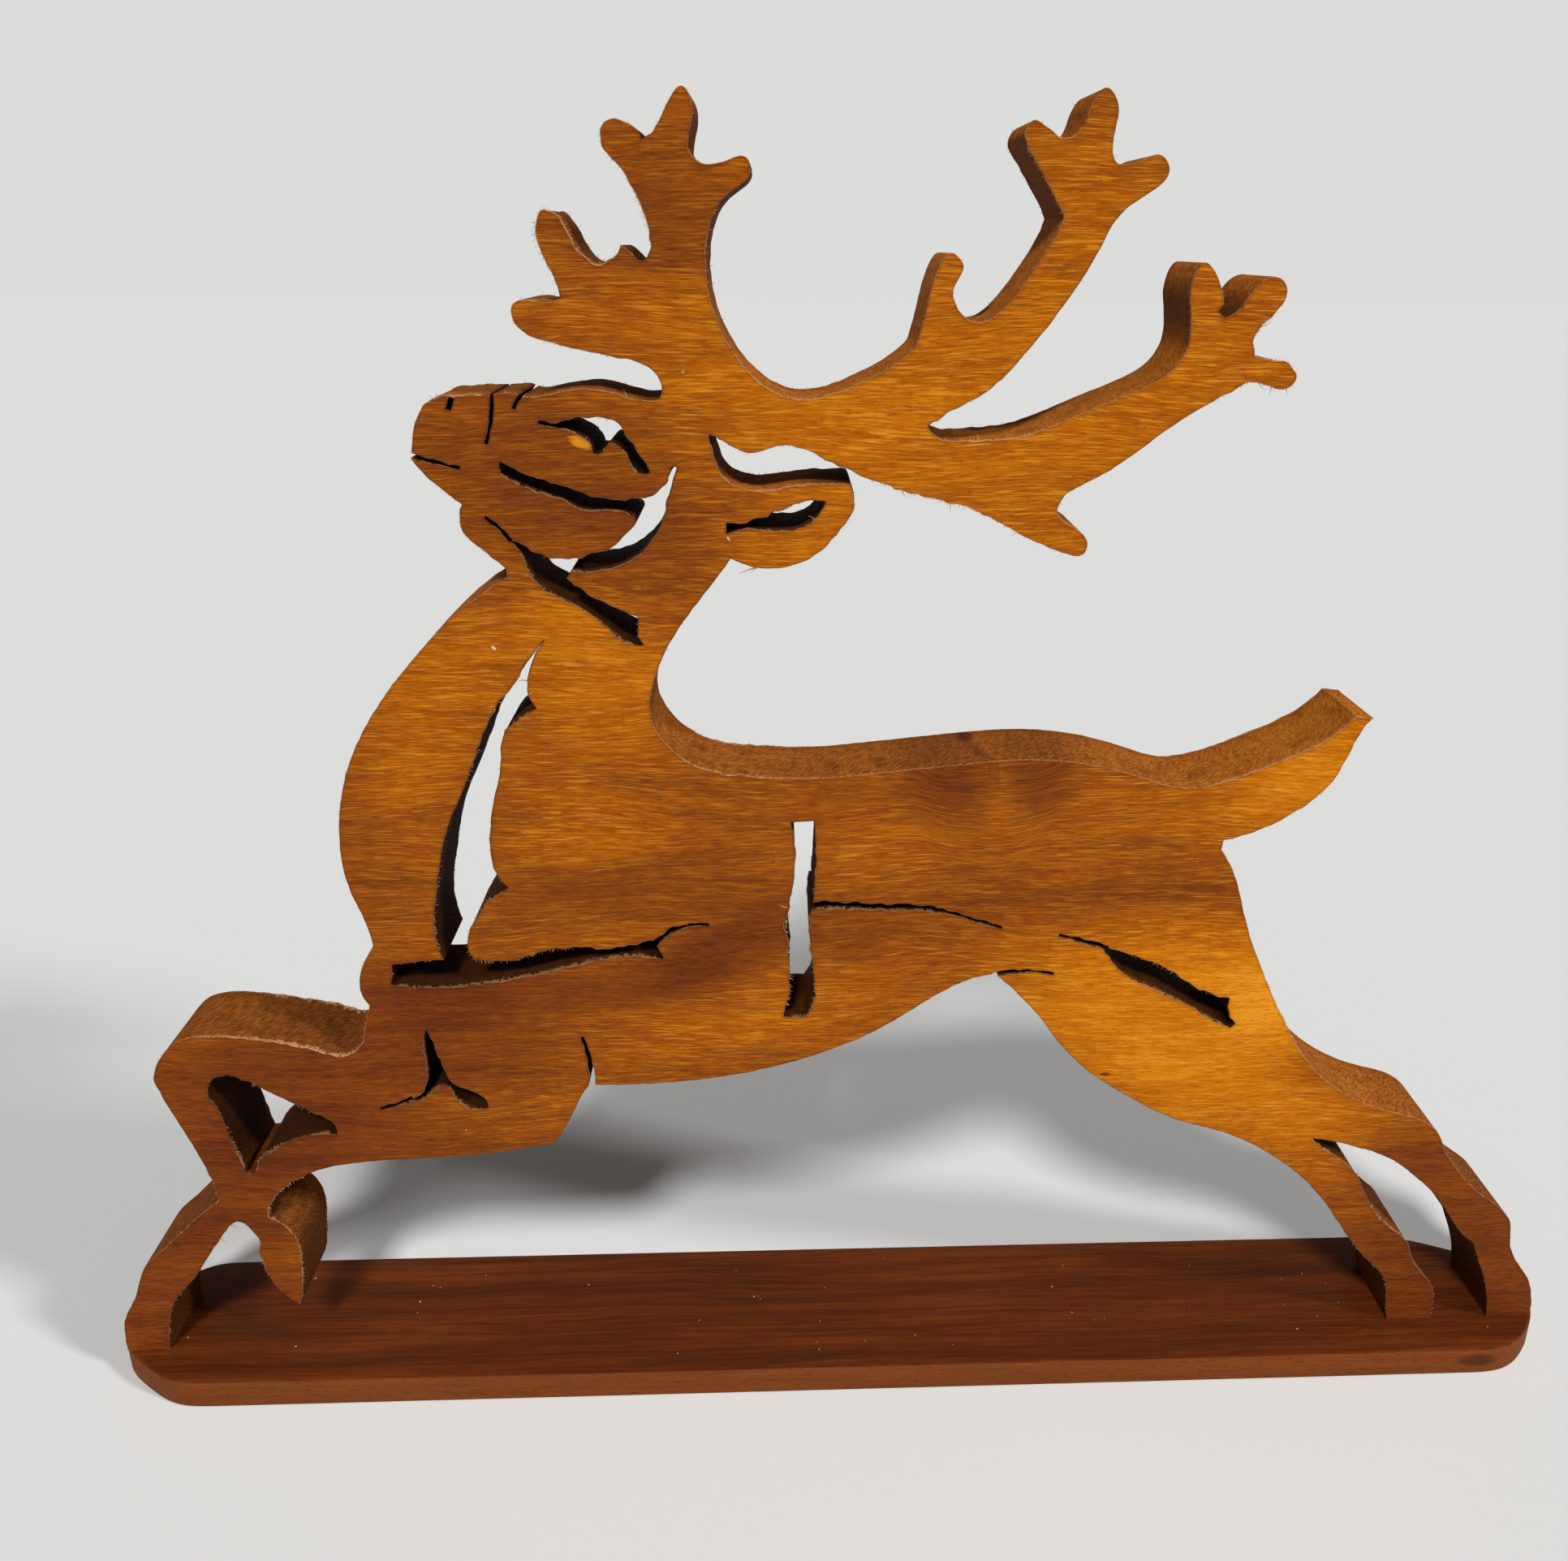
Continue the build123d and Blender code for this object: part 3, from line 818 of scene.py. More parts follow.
PLAIN_TONE = 0.42
# Most patches are the wood's own tone. The darker patches low on the legs by the hooves (x about
# -136 to -128 and 120 to 138, z 18 to 48) are painted shade, and the pale patches at about x 64 to
# 86, z 86 to 88 are a painted highlight.
TONE_AND_PAINTED_LIGHT = (
    Patch(-54, 190, 27, 19, 0, -0.16), Patch(-30, 178, 14, 12, 0, -0.10),
    Patch(-52, 168, 8, 4, 0, 0.16), Patch(-45, 155, 14, 15, -70, 0.20),
    Patch(-78, 150, 24, 13, 52, 0.14), Patch(-93, 138, 7, 14, -20, -0.10),
    Patch(-93, 116, 12, 16, 0, -0.10), Patch(-50, 126, 14, 8, 0, 0.12),
    Patch(-62, 112, 18, 10, 0, -0.10), Patch(-80, 91, 28, 8, 4, -0.28),
    Patch(-40, 94, 20, 6, 14, -0.14), Patch(-22, 101, 20, 7, 24, -0.24),
    Patch(30, 110, 34, 8, 6, -0.12), Patch(-32, 114, 24, 8, 0, -0.14),
    Patch(8, 124, 14, 6, 0, 0.10), Patch(42, 120, 9, 8, 0, 0.04),
    Patch(18, 136, 9, 9, -60, -0.18), Patch(36, 136, 8, 8, 40, -0.18),
    Patch(29, 131, 4, 7, 20, 0.12), Patch(5, 130, 54, 8, 0, -0.09), Patch(0, 101, 9, 5, 0, -0.12),
    Patch(58, 132, 20, 7, 0, 0.10), Patch(88, 137, 18, 9, 35, 0.36),
    Patch(64, 112, 22, 8, 0, -0.06), Patch(64, 88, 38, 17, 0, 0.34),
    Patch(78, 64, 30, 10, -25, 0.28),
    Patch(86, 86, 12, 14, 0, 0.24), Patch(-10, 88, 15, 6, 12, 0.14),
    Patch(-32, 82, 14, 6, 0, 0.08), Patch(-20, 74, 28, 4, 5, -0.08),
    Patch(-72, 78, 22, 9, 0, -0.17),
    Patch(-115, 72, 34, 14, 0, -0.26), Patch(-96, 56, 40, 8, 0, -0.20),
    Patch(-128, 46, 24, 14, 0, -0.18), Patch(-136, 18, 34, 26, 0, -0.24),
    Patch(100, 62, 16, 8, -5, 0.12), Patch(138, 18, 38, 28, -20, -0.27),
    Patch(120, 48, 12, 9, 0, -0.14), Patch(32, 206, 54, 36, 0, 0.18),
    Patch(-8, 200, 26, 10, 0, 0.07), Patch(-30, 214, 18, 10, 0, 0.05),
    Patch(-34, 234, 18, 12, 0, -0.18), Patch(-12, 176, 14, 6, 0, 0.14),
)


def tone_and_painted_light(x: np.ndarray, z: np.ndarray) -> np.ndarray:
    """Tone at points in millimetres: about 0 at its darkest, 1 at its palest.

    Mostly the wood's own tone, with painted shade low on the legs and a painted highlight.
    """
    return PLAIN_TONE + sum(patch.at(x, z) for patch in TONE_AND_PAINTED_LIGHT)


@dataclass(frozen=True)
class TornSpot:
    """Stretch of the outline where the saw tore the wood: middle, radius and roughness in mm."""

    x: float
    z: float
    radius: float
    roughness: float


TORN_CORE = 0.375  # share of a torn spot's radius that is fully torn
TORN_SPOTS = (
    TornSpot(-42, 228, 26, 0.34), TornSpot(-50, 186, 30, 0.26), TornSpot(-62, 203, 14, 0.34),
    TornSpot(15, 186, 30, 0.34), TornSpot(-108, 80, 24, 0.36), TornSpot(-55, 98, 40, 0.30),
    TornSpot(-120, 50, 14, 0.34), TornSpot(-10, 98, 22, 0.34), TornSpot(66, 88, 18, 0.28),
    TornSpot(-58, 158, 16, 0.30), TornSpot(70, 210, 16, 0.30), TornSpot(-80, 66, 14, 0.30),
    TornSpot(22, 106, 24, 0.28), TornSpot(-12, 190, 18, 0.26), TornSpot(-22, 130, 18, 0.30),
    TornSpot(92, 80, 12, 0.30), TornSpot(-122, 28, 14, 0.30), TornSpot(80, 142, 30, 0.20),
    TornSpot(20, 240, 30, 0.20), TornSpot(-12, 200, 26, 0.22), TornSpot(118, 26, 20, 0.18),
)


def fade(value: np.ndarray, full: float, none: float) -> np.ndarray:
    """1 where a value is at most full, falling evenly to 0 where it is none."""
    return np.clip((none - value) / (none - full), 0, 1)


def waves(rng: np.random.Generator, count: int,
          parts: Sequence[tuple[float, int]]) -> np.ndarray:
    """Adds up smoothed random numbers round a closed loop.

    Args:
        rng: where they are drawn from.
        count: how many.
        parts: strength and smoothing rounds of each set.

    Returns:
        The sums.
    """
    return sum(strength * wander(rng, count, rounds) for strength, rounds in parts)


def near_tree(points: np.ndarray) -> KDTree:
    """Search tree of points in the X-Z plane.

    Args:
        points: the points, N by 2.

    Returns:
        The tree, ready to be searched.
    """
    tree = KDTree(len(points))
    for i, (x, z) in enumerate(points):
        tree.insert((x, z, 0), i)
    tree.balance()
    return tree


@dataclass
class Walls:
    """Sawn walls of the board: points, faces, each face's rims and the numbers at each point."""

    rows: list[np.ndarray] = field(default_factory=list)
    faces: list[list[int]] = field(default_factory=list)
    rims: dict[Side, list[list[int]]] = field(default_factory=lambda: {side: [] for side in Side})
    data: dict[str, list[np.ndarray]] = field(
        default_factory=lambda: {name: [] for name in MESH_NUMBERS})

    def add(self, row: np.ndarray, **numbers: np.ndarray | float) -> None:
        """Adds points and the numbers they carry.

        Args:
            row: the points, N by 3.
            numbers: one number, or one for each point, under each name.
        """
        self.rows.append(row)
        for name, value in numbers.items():
            self.data[name].append(np.broadcast_to(value, len(row)))


@dataclass
class SawnBoard:
    """The animal: two planed faces, sawn walls between them, frayed rims.

    Sizes are in millimetres. step is the spacing of the outline's points, corner the turn that
    stays sharp, widths the free widths that are told apart, wall_depths the rings of the wall
    and face_rings the rows of points inside the rim.

    A cut is fully rough up to the first of rough_widths and smooth from the second. The burrs
    are crisp where the outline turns so far that its normals agree by less than tip. ripples
    and frays are strength and smoothing rounds of the waves in the wall and in its rim, of
    which the back rim has back_fray. burn_shade_start less the free width over
    burn_shade_width is how dark a wall is painted, partly saw burn and partly painted shade in
    narrow cuts, within burn_shade_range, whose first number holds for the inner lines.
    """

    node: str = "reindeer_board"
    step: float = 0.42
    corner: float = 0.5
    burr: float = 0.08
    kerf_burr: float = 0.32
    rough_widths: tuple[float, float] = (1.5, 4.5)
    crisp: float = 0.03
    tip: float = 0.35
    largest_burr: float = 0.4
    ripples: tuple[tuple[float, int], ...] = ((0.04, 1), (0.06, 14))
    frays: tuple[tuple[float, int], ...] = ((0.4, 1), (1.5, 4))
    back_fray: float = 0.6
    burn_shade_start: float = 1.35
    burn_shade_width: float = 3.5
    burn_shade_range: tuple[float, float] = (0.84, 0.95)
    burn_shade_rounds: int = 6
    clean: tuple[float, float, float] = (-120.5, 50.0, 6.0)
    widths: tuple[float, ...] = (0.3, 0.6, 1.0, 1.5, 2.2, 3.0)
    rim_round: float = 0.12
    rim_sawn: float = 0.3
    face_torn: float = 0.4
    fray_depth: float = 1.6
    wall_depths: tuple[float, ...] = (0.45, 1.0, 2.0, 3.4, 5.0, 6.8)
    face_rings: tuple[float, ...] = (0.55, 1.4)
    face_dip: float = 0.05
    dip_sizes: tuple[float, float] = (17.0, 5.3)
    face_deep: float = 9.0
    grid: float = 1.7
    grid_shift: float = 0.35
    sharp_angle: float = 48.0
    rng: np.random.Generator = field(default_factory=lambda: np.random.default_rng(17))
    loops: list[Loop] = field(default_factory=list)

    @cached_property
    def half(self) -> float:
        """Half the board's thickness in millimetres."""
        low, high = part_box(self.node)
        return (high.y - low.y) / 2 / MM

    def levels(self) -> list[float]:
        """Depths of the wall's rings from the middle, front to back, in millimetres."""
        inner = [self.half - d for d in (self.rim_round, *self.wall_depths)]
        return [-d for d in inner] + [0.0] + inner[::-1]

    def smooth_run(self, points: np.ndarray) -> np.ndarray:
        """Evenly spaced points on a smooth curve through a run.

        Args:
            points: the run, N by 2.

        Returns:
            The points, without the run's last one.
        """
        heading = np.gradient(points, axis=0)
        heading[1:-1] = points[2:] - points[:-2]
        heading /= np.maximum(np.linalg.norm(heading, axis=1), TINY)[:, None]
        parts, t = [], np.linspace(0, 1, 9)[:-1, None]
        for a, b, from_a, to_b in zip(points, points[1:], heading, heading[1:]):
            curve = a * (2 * t ** 3 - 3 * t ** 2 + 1) + b * (3 * t ** 2 - 2 * t ** 3)
            bend = from_a * (t ** 3 - 2 * t ** 2 + t) + to_b * (t ** 3 - t ** 2)
            parts.append(curve + bend * np.linalg.norm(b - a))
        dense = np.vstack(parts + [points[-1:]])
        gaps = np.linalg.norm(np.diff(dense, axis=0), axis=1)
        run = np.concatenate([[0], np.cumsum(gaps)])
        pieces = max(1, round(run[-1] / self.step))
        at = np.linspace(0, run[-1], pieces + 1)[:-1]
        return np.column_stack([np.interp(at, run, dense[:, i]) for i in (0, 1)])

    def make_loop(self, line: np.ndarray) -> Loop:
        """Resamples one closed line and keeps its corners sharp.

        Args:
            line: the closed line, N by 2.

        Returns:
            The loop, with its normals and the roughness of its torn stretches.
        """
        ahead = np.roll(line, -1, 0) - line
        heading = np.arctan2(ahead[:, 1], ahead[:, 0])
        turn = (heading - np.roll(heading, 1) + math.pi) % (2 * math.pi) - math.pi
        corners = np.flatnonzero(np.abs(turn) > self.corner)
        if len(corners) == 0:
            corners = np.array([0])
        line = np.roll(line, -corners[0], 0)
        starts = list(corners - corners[0]) + [len(line)]
        closed = np.vstack([line, line[:1]])
        points = np.vstack([self.smooth_run(closed[a:b + 1]) for a, b in zip(starts, starts[1:])])
        tangent = np.roll(points, -1, 0) - np.roll(points, 1, 0)
        tangent /= np.maximum(np.linalg.norm(tangent, axis=1), TINY)[:, None]
        normals = np.column_stack([tangent[:, 1], -tangent[:, 0]])
        gaps = np.linalg.norm(np.roll(points, -1, 0) - points, axis=1)
        along = np.concatenate([[0], np.cumsum(gaps)[:-1]])
        rough = np.full(len(points), self.burr)
        for torn in TORN_SPOTS:
            away = np.hypot(points[:, 0] - torn.x, points[:, 1] - torn.z)
            near = fade(away, torn.radius * TORN_CORE, torn.radius)
            rough = np.maximum(rough, torn.roughness * near)
        return Loop(points, normals, along, rough, np.full(len(points), self.widths[-1] * 2))

    def outer(self) -> Loop:
        """The loop round the whole animal."""
        return max(self.loops, key=lambda loop: np.ptp(loop.points[:, 0]))

    def every_point(self) -> np.ndarray:
        """Points of all loops."""
        return np.vstack([loop.points for loop in self.loops])

    def measure_room(self) -> None:
        """Works out the free width beside every point; narrow cuts are rougher."""
        tree = near_tree(self.every_point())
        for loop in self.loops:
            for width in self.widths[::-1]:
                for i, (x, z) in enumerate(self.ring(loop, np.full(len(loop.points), width))):
                    if tree.find((x, z, 0))[2] < 0.8 * width:
                        loop.room[i] = width
            narrow = fade(loop.room, *self.rough_widths)
            loop.rough = np.maximum(loop.rough, self.kerf_burr * narrow)
            ahead, behind = np.roll(loop.normals, -2, 0), np.roll(loop.normals, 2, 0)
            sharp = np.sum(ahead * behind, axis=1) < self.tip
            for shift in (-2, -1, 0, 1, 2):
                loop.rough[np.roll(sharp, shift)] = self.crisp

    def ring(self, loop: Loop, outward: np.ndarray) -> np.ndarray:
        """The loop moved out of the wood by a distance at each point."""
        return loop.points + loop.normals * outward[:, None]

    def burn(self, loop: Loop) -> np.ndarray:
        """Saw burn and painted shade of the wall: most in narrow cuts, less at the one clean notch.

        Args:
            loop: the line of the wall.

        Returns:
            A number from 0 to 1 at each of its points.
        """
        least, most = self.burn_shade_range
        if loop is self.outer():
            least = 0.0
        # narrow cuts are darkest: partly saw burn, partly painted shade in the recess
        burn = np.clip(self.burn_shade_start - loop.room / self.burn_shade_width, least, most)
        x, z, radius = self.clean
        burn = burn * np.clip(np.hypot(*(loop.points - (x, z)).T) / radius, 0.1, 1)
        for _ in range(self.burn_shade_rounds):
            burn = (np.roll(burn, 1) + burn + np.roll(burn, -1)) / 3
        return burn

    def walls(self) -> Walls:
        """Builds the sawn walls ring by ring, front to back.

        Returns:
            The walls.
        """
        half, walls, base = self.half, Walls(), 0
        rings = [(-half, -self.rim_round), *[(d, 0.0) for d in self.levels()],
                 (half, -self.rim_round)]
        for loop in self.loops:
            count = len(loop.points)
            ripple = waves(self.rng, count, self.ripples)
            front_fray, back_fray = (waves(self.rng, count, self.frays) for _ in Side)
            limit = np.minimum(loop.room * 0.3, self.largest_burr)
            torn = np.clip(loop.rough / ROUGHEST, 0, 1) * np.clip(loop.room, 0.1, 1)
            burn = self.burn(loop)
            for depth, outward in rings:
                near = max(0.0, 1 - (half - abs(depth)) / self.fray_depth) ** 1.5
                fray = front_fray if depth < 0 else back_fray * self.back_fray
                burr = np.clip(fray * loop.rough, -limit, limit) * near
                flat = self.ring(loop, outward + burr + ripple * (1 - near))
                walls.add(np.column_stack([flat[:, 0], np.full(count, depth), flat[:, 1]]),
                          deep=half - abs(depth), torn=torn, along=loop.along, burn=burn,
                          sawn=self.rim_sawn if abs(depth) == half else 1.0)
            rows = [list(range(base + k * count, base + (k + 1) * count))
                    for k in range(len(rings))]
            for first, second in zip(rows, rows[1:]):
                walls.faces += join_rings(first, second)
            walls.rims[Side.FRONT].append(rows[0])
            walls.rims[Side.BACK].append(rows[-1])
            base += len(rings) * count
        return walls

    def inner_points(self) -> np.ndarray:
        """Points inside the face: rows along the rim, then a loose grid.

        Returns:
            The points, N by 2.
        """
        everything = self.every_point()
        tree, found = near_tree(everything), []
        for inset in self.face_rings:
            every = 1 if inset < 1 else 3
            for loop in self.loops:
                for x, z in self.ring(loop, np.full(len(loop.points), -inset))[::every]:
                    if tree.find((x, z, 0))[2] > inset * 0.85:
                        found.append((x, z))
        low, high = everything.min(0), everything.max(0)
        for x in np.arange(low[0], high[0], self.grid):
            for z in np.arange(low[1], high[1], self.grid):
                shifted = (x, z) + self.rng.uniform(-self.grid_shift, self.grid_shift, 2)
                if tree.find((*shifted, 0))[2] > self.face_rings[-1] + 0.6:
                    found.append(tuple(shifted))
        points = np.array(found)
        return points[inside_lines(points, [loop.points for loop in self.loops])]

    def close(self, walls: Walls) -> None:
        """Closes the front and the back of the walls with the same triangles.

        Args:
            walls: the walls, which gain the faces and their points.
        """
        wall = np.vstack(walls.rows)
        rim_lines = [wall[ids][:, [0, 2]] for ids in walls.rims[Side.FRONT]]
        places, sources, triangles = fill_lines(rim_lines, self.inner_points())
        used = sorted({i for t in triangles for i in t})
        total = len(wall)
        for side in Side:
            rim = [i for ids in walls.rims[side] for i in ids]
            ids, extra = {}, []
            for v in used:
                if 0 <= sources[v] < len(rim):
                    ids[v] = rim[sources[v]]
                else:
                    ids[v] = total + len(extra)
                    extra.append(places[v])
            x, z = np.array(extra).T
            dip = self.face_dip * np.sin(x / self.dip_sizes[0]) * np.sin(z / self.dip_sizes[1] + 1)
            depth = side.value * (self.half + np.minimum(dip, 0))
            walls.add(np.column_stack([x, depth, z]), deep=self.face_deep, along=x, sawn=0.0,
                      torn=self.face_torn, burn=0.0)
            total += len(extra)
            turn = 1 if side is Side.FRONT else -1
            walls.faces += [[ids[i] for i in t][::turn] for t in triangles]

    def build(self, cad: bpy.types.Object) -> bpy.types.Object:
        """Builds the board as one closed mesh with its numbers for the material.

        Args:
            cad: the CAD solid that this mesh stands for.

        Returns:
            The finished piece.
        """
        low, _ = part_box(self.node)
        self.loops = [self.make_loop(line) for line in face_loops(cad, 1, low.y)]
        self.measure_room()
        walls = self.walls()
        self.close(walls)
        shape = np.vstack(walls.rows)
        walls.data["figure"] = [tone_and_painted_light(shape[:, 0], shape[:, 2])]
        shape[:, 1] += low.y / MM + self.half
        piece = new_piece("reindeer", shape * MM, walls.faces, CherryFinish().material())
        for name, values in walls.data.items():
            set_points(piece, name, np.concatenate(values))
        piece.data.shade_smooth()
        piece.data.set_sharp_from_angle(angle=math.radians(self.sharp_angle))
        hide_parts(self.node)
        return piece


@dataclass(frozen=True)
class Splinter:
    """A torn fibre: root, direction in degrees, length, width and curl, in millimetres."""

    x: float
    z: float
    angle: float
    length: float
    width: float = 0.22
    curl: float = 25.0


SPLINTERS = (
    Splinter(8.5, 188.2, -70, 2.0, 0.3, 60), Splinter(12.0, 187.4, -20, 2.6, 0.35, 40),
    Splinter(17.0, 186.6, -100, 1.6), Splinter(20.5, 185.9, -40, 2.4, 0.3, 50),
    Splinter(29.0, 182.2, -150, 1.4), Splinter(69.0, 206.2, -60, 2.2, 0.25, 60),
    Splinter(71.4, 206.0, -110, 1.6), Splinter(74.0, 206.6, -80, 1.5),
    Splinter(69.6, 215.6, 10, 2.2, 0.18, 70), Splinter(33.4, 199.6, 110, 1.6, 0.2, 50),
    Splinter(21.4, 198.0, 95, 1.2), Splinter(-16.5, 175.6, -165, 3.6, 0.4, 15),
    Splinter(-21.0, 177.0, 15, 1.6, 0.4), Splinter(-6.6, 184.0, 120, 1.5, 0.25, 60),
    Splinter(-8.5, 76.6, -75, 2.4, 0.2, 25), Splinter(5.6, 82.2, -60, 1.2),
    Splinter(-127.0, 38.4, -20, 2.6, 0.3, 20), Splinter(-130.5, 35.4, -35, 1.8, 0.3, 20),
    Splinter(-58.6, 155.0, 160, 1.8, 0.3, 60), Splinter(-58.8, 152.6, 20, 1.4, 0.3, 50),
    Splinter(-14.4, 110.0, 150, 2.2, 0.5, 20), Splinter(83.4, 129.4, 40, 1.3),
    Splinter(-37.5, 205.6, 100, 1.8, 0.2, 40), Splinter(-118.6, 83.0, 160, 1.8, 0.2, 30),
    Splinter(97.2, 53.8, -60, 1.8, 0.3, 40), Splinter(100.4, 51.4, -20, 1.4, 0.25, 40),
)


@dataclass
class TornFibres:
    """Loose splinters and the short fuzz that the blade left along the rims.

    Hairs stand fuzz_gap apart, only where the cut is at least clear wide, and lean either way
    by about spread degrees. front_share of them are on the front rim. A hair's length is drawn
    from fuzz_lengths, plus rough_length for each millimetre of roughness. partner gives the
    turn, the length and the width of the smaller splinter beside each splinter.
    """

    board: SawnBoard
    steps: int = 4
    taper: float = 0.85
    fuzz_gap: float = 0.42
    clear: float = 3.0
    front_share: float = 0.75
    spread: float = 34.0
    curl: float = 45.0
    rooted: float = 0.08
    fuzz_depths: tuple[float, float] = (0.05, 0.5)
    fuzz_lengths: tuple[float, float] = (0.25, 0.55)
    rough_length: float = 0.9
    fuzz_widths: tuple[float, float] = (0.08, 0.17)
    splinter_rooted: float = 0.12
    splinter_depth: float = 0.15
    partner: tuple[float, float, float] = (22.0, 0.55, 0.6)
    partner_gap: float = 0.2
    rng: np.random.Generator = field(default_factory=lambda: np.random.default_rng(5))
    points: list[tuple[float, float, float]] = field(default_factory=list)
    faces: list[list[int]] = field(default_factory=list)

    def sliver(self, root: np.ndarray, angle: float, length: float, width: float,
               curl: float) -> None:
        """Adds one tapered, curled fibre with a three-sided section, in millimetres.

        Args:
            root: its root, X, Y and Z.
            angle: direction in the X-Z plane, in degrees.
            length: its length.
            width: width at the root.
            curl: degrees it turns from root to tip.
        """
        start, here = len(self.points), np.array(root, float)
        lean = self.rng.uniform(-0.35, 0.1)
        for k in range(self.steps + 1):
            share = k / self.steps
            turn = math.radians(angle + curl * share)
            ahead = np.array([math.cos(turn), lean, math.sin(turn)])
            aside = np.array([-math.sin(turn), 0.0, math.cos(turn)])
            size = width / 2 * (1 - self.taper * share)
            for out, deep in ((1, 0), (-0.5, -0.85), (-0.5, 0.85)):
                self.points.append(tuple(here + aside * size * out + np.array([0, size * deep, 0])))
            here = here + ahead * length / self.steps
        rings = [[start + 3 * k + i for i in range(3)] for k in range(self.steps + 1)]
        for first, second in zip(rings, rings[1:]):
            self.faces += join_rings(first, second)
        self.faces += [rings[0][::-1], rings[-1]]

    def fuzz(self) -> None:
        """Short hairs along the torn stretches of both rims."""
        every = max(1, round(self.fuzz_gap / self.board.step))
        for loop in self.board.loops:
            for i in range(0, len(loop.points), every):
                if self.rng.random() > loop.rough[i] / ROUGHEST or loop.room[i] < self.clear:
                    continue
                angle = math.degrees(math.atan2(loop.normals[i, 1], loop.normals[i, 0]))
                side = -1 if self.rng.random() < self.front_share else 1
                x, z = loop.points[i] - loop.normals[i] * self.rooted
                depth = side * (self.board.half - self.rng.uniform(*self.fuzz_depths))
                angle += self.rng.normal(0, self.spread)
                longer = loop.rough[i] * self.rough_length
                length = self.rng.uniform(*self.fuzz_lengths) + longer
                width = self.rng.uniform(*self.fuzz_widths)
                self.sliver(np.array([x, depth, z]), angle, length, width,
                            self.rng.normal(0, self.curl))

    def build(self) -> bpy.types.Object:
        """Builds all fibres as one mesh, each splinter with a shorter one beside it.

        Returns:
            The finished piece.
        """
        front = -self.board.half + self.splinter_depth
        rim = np.vstack([loop.points - loop.normals * self.splinter_rooted
                         for loop in self.board.loops])
        turn, shorter, thinner = self.partner
        for s in SPLINTERS:
            x, z = rim[np.argmin(np.hypot(rim[:, 0] - s.x, rim[:, 1] - s.z))]
            self.sliver(np.array([x, front, z]), s.angle, s.length, s.width, s.curl)
            self.sliver(np.array([x, front + self.partner_gap, z]), s.angle + turn,
                        s.length * shorter, s.width * thinner, -s.curl)
        self.fuzz()
        shape = np.array(self.points) * MM
        piece = new_piece("torn_fibres", shape, self.faces, FibreFinish().material())
        return piece


# ---- base plate and screws ---------------------------------------------------------------------
@dataclass
class PointBook:
    """Points in millimetres, each kept once, and the faces on them."""

    points: list[tuple[float, float, float]] = field(default_factory=list)
    numbers: dict[tuple[int, ...], int] = field(default_factory=dict)
    faces: list[list[int]] = field(default_factory=list)

    def number(self, *place: float) -> int:
        """Number of the point at a place, which is added if it is new.

        Args:
            place: X, Y and Z.

        Returns:
            The point's number.
        """
        key = tuple(round(c * 1000) for c in place)
        if key not in self.numbers:
            self.numbers[key] = len(self.points)
            self.points.append(place)
        return self.numbers[key]


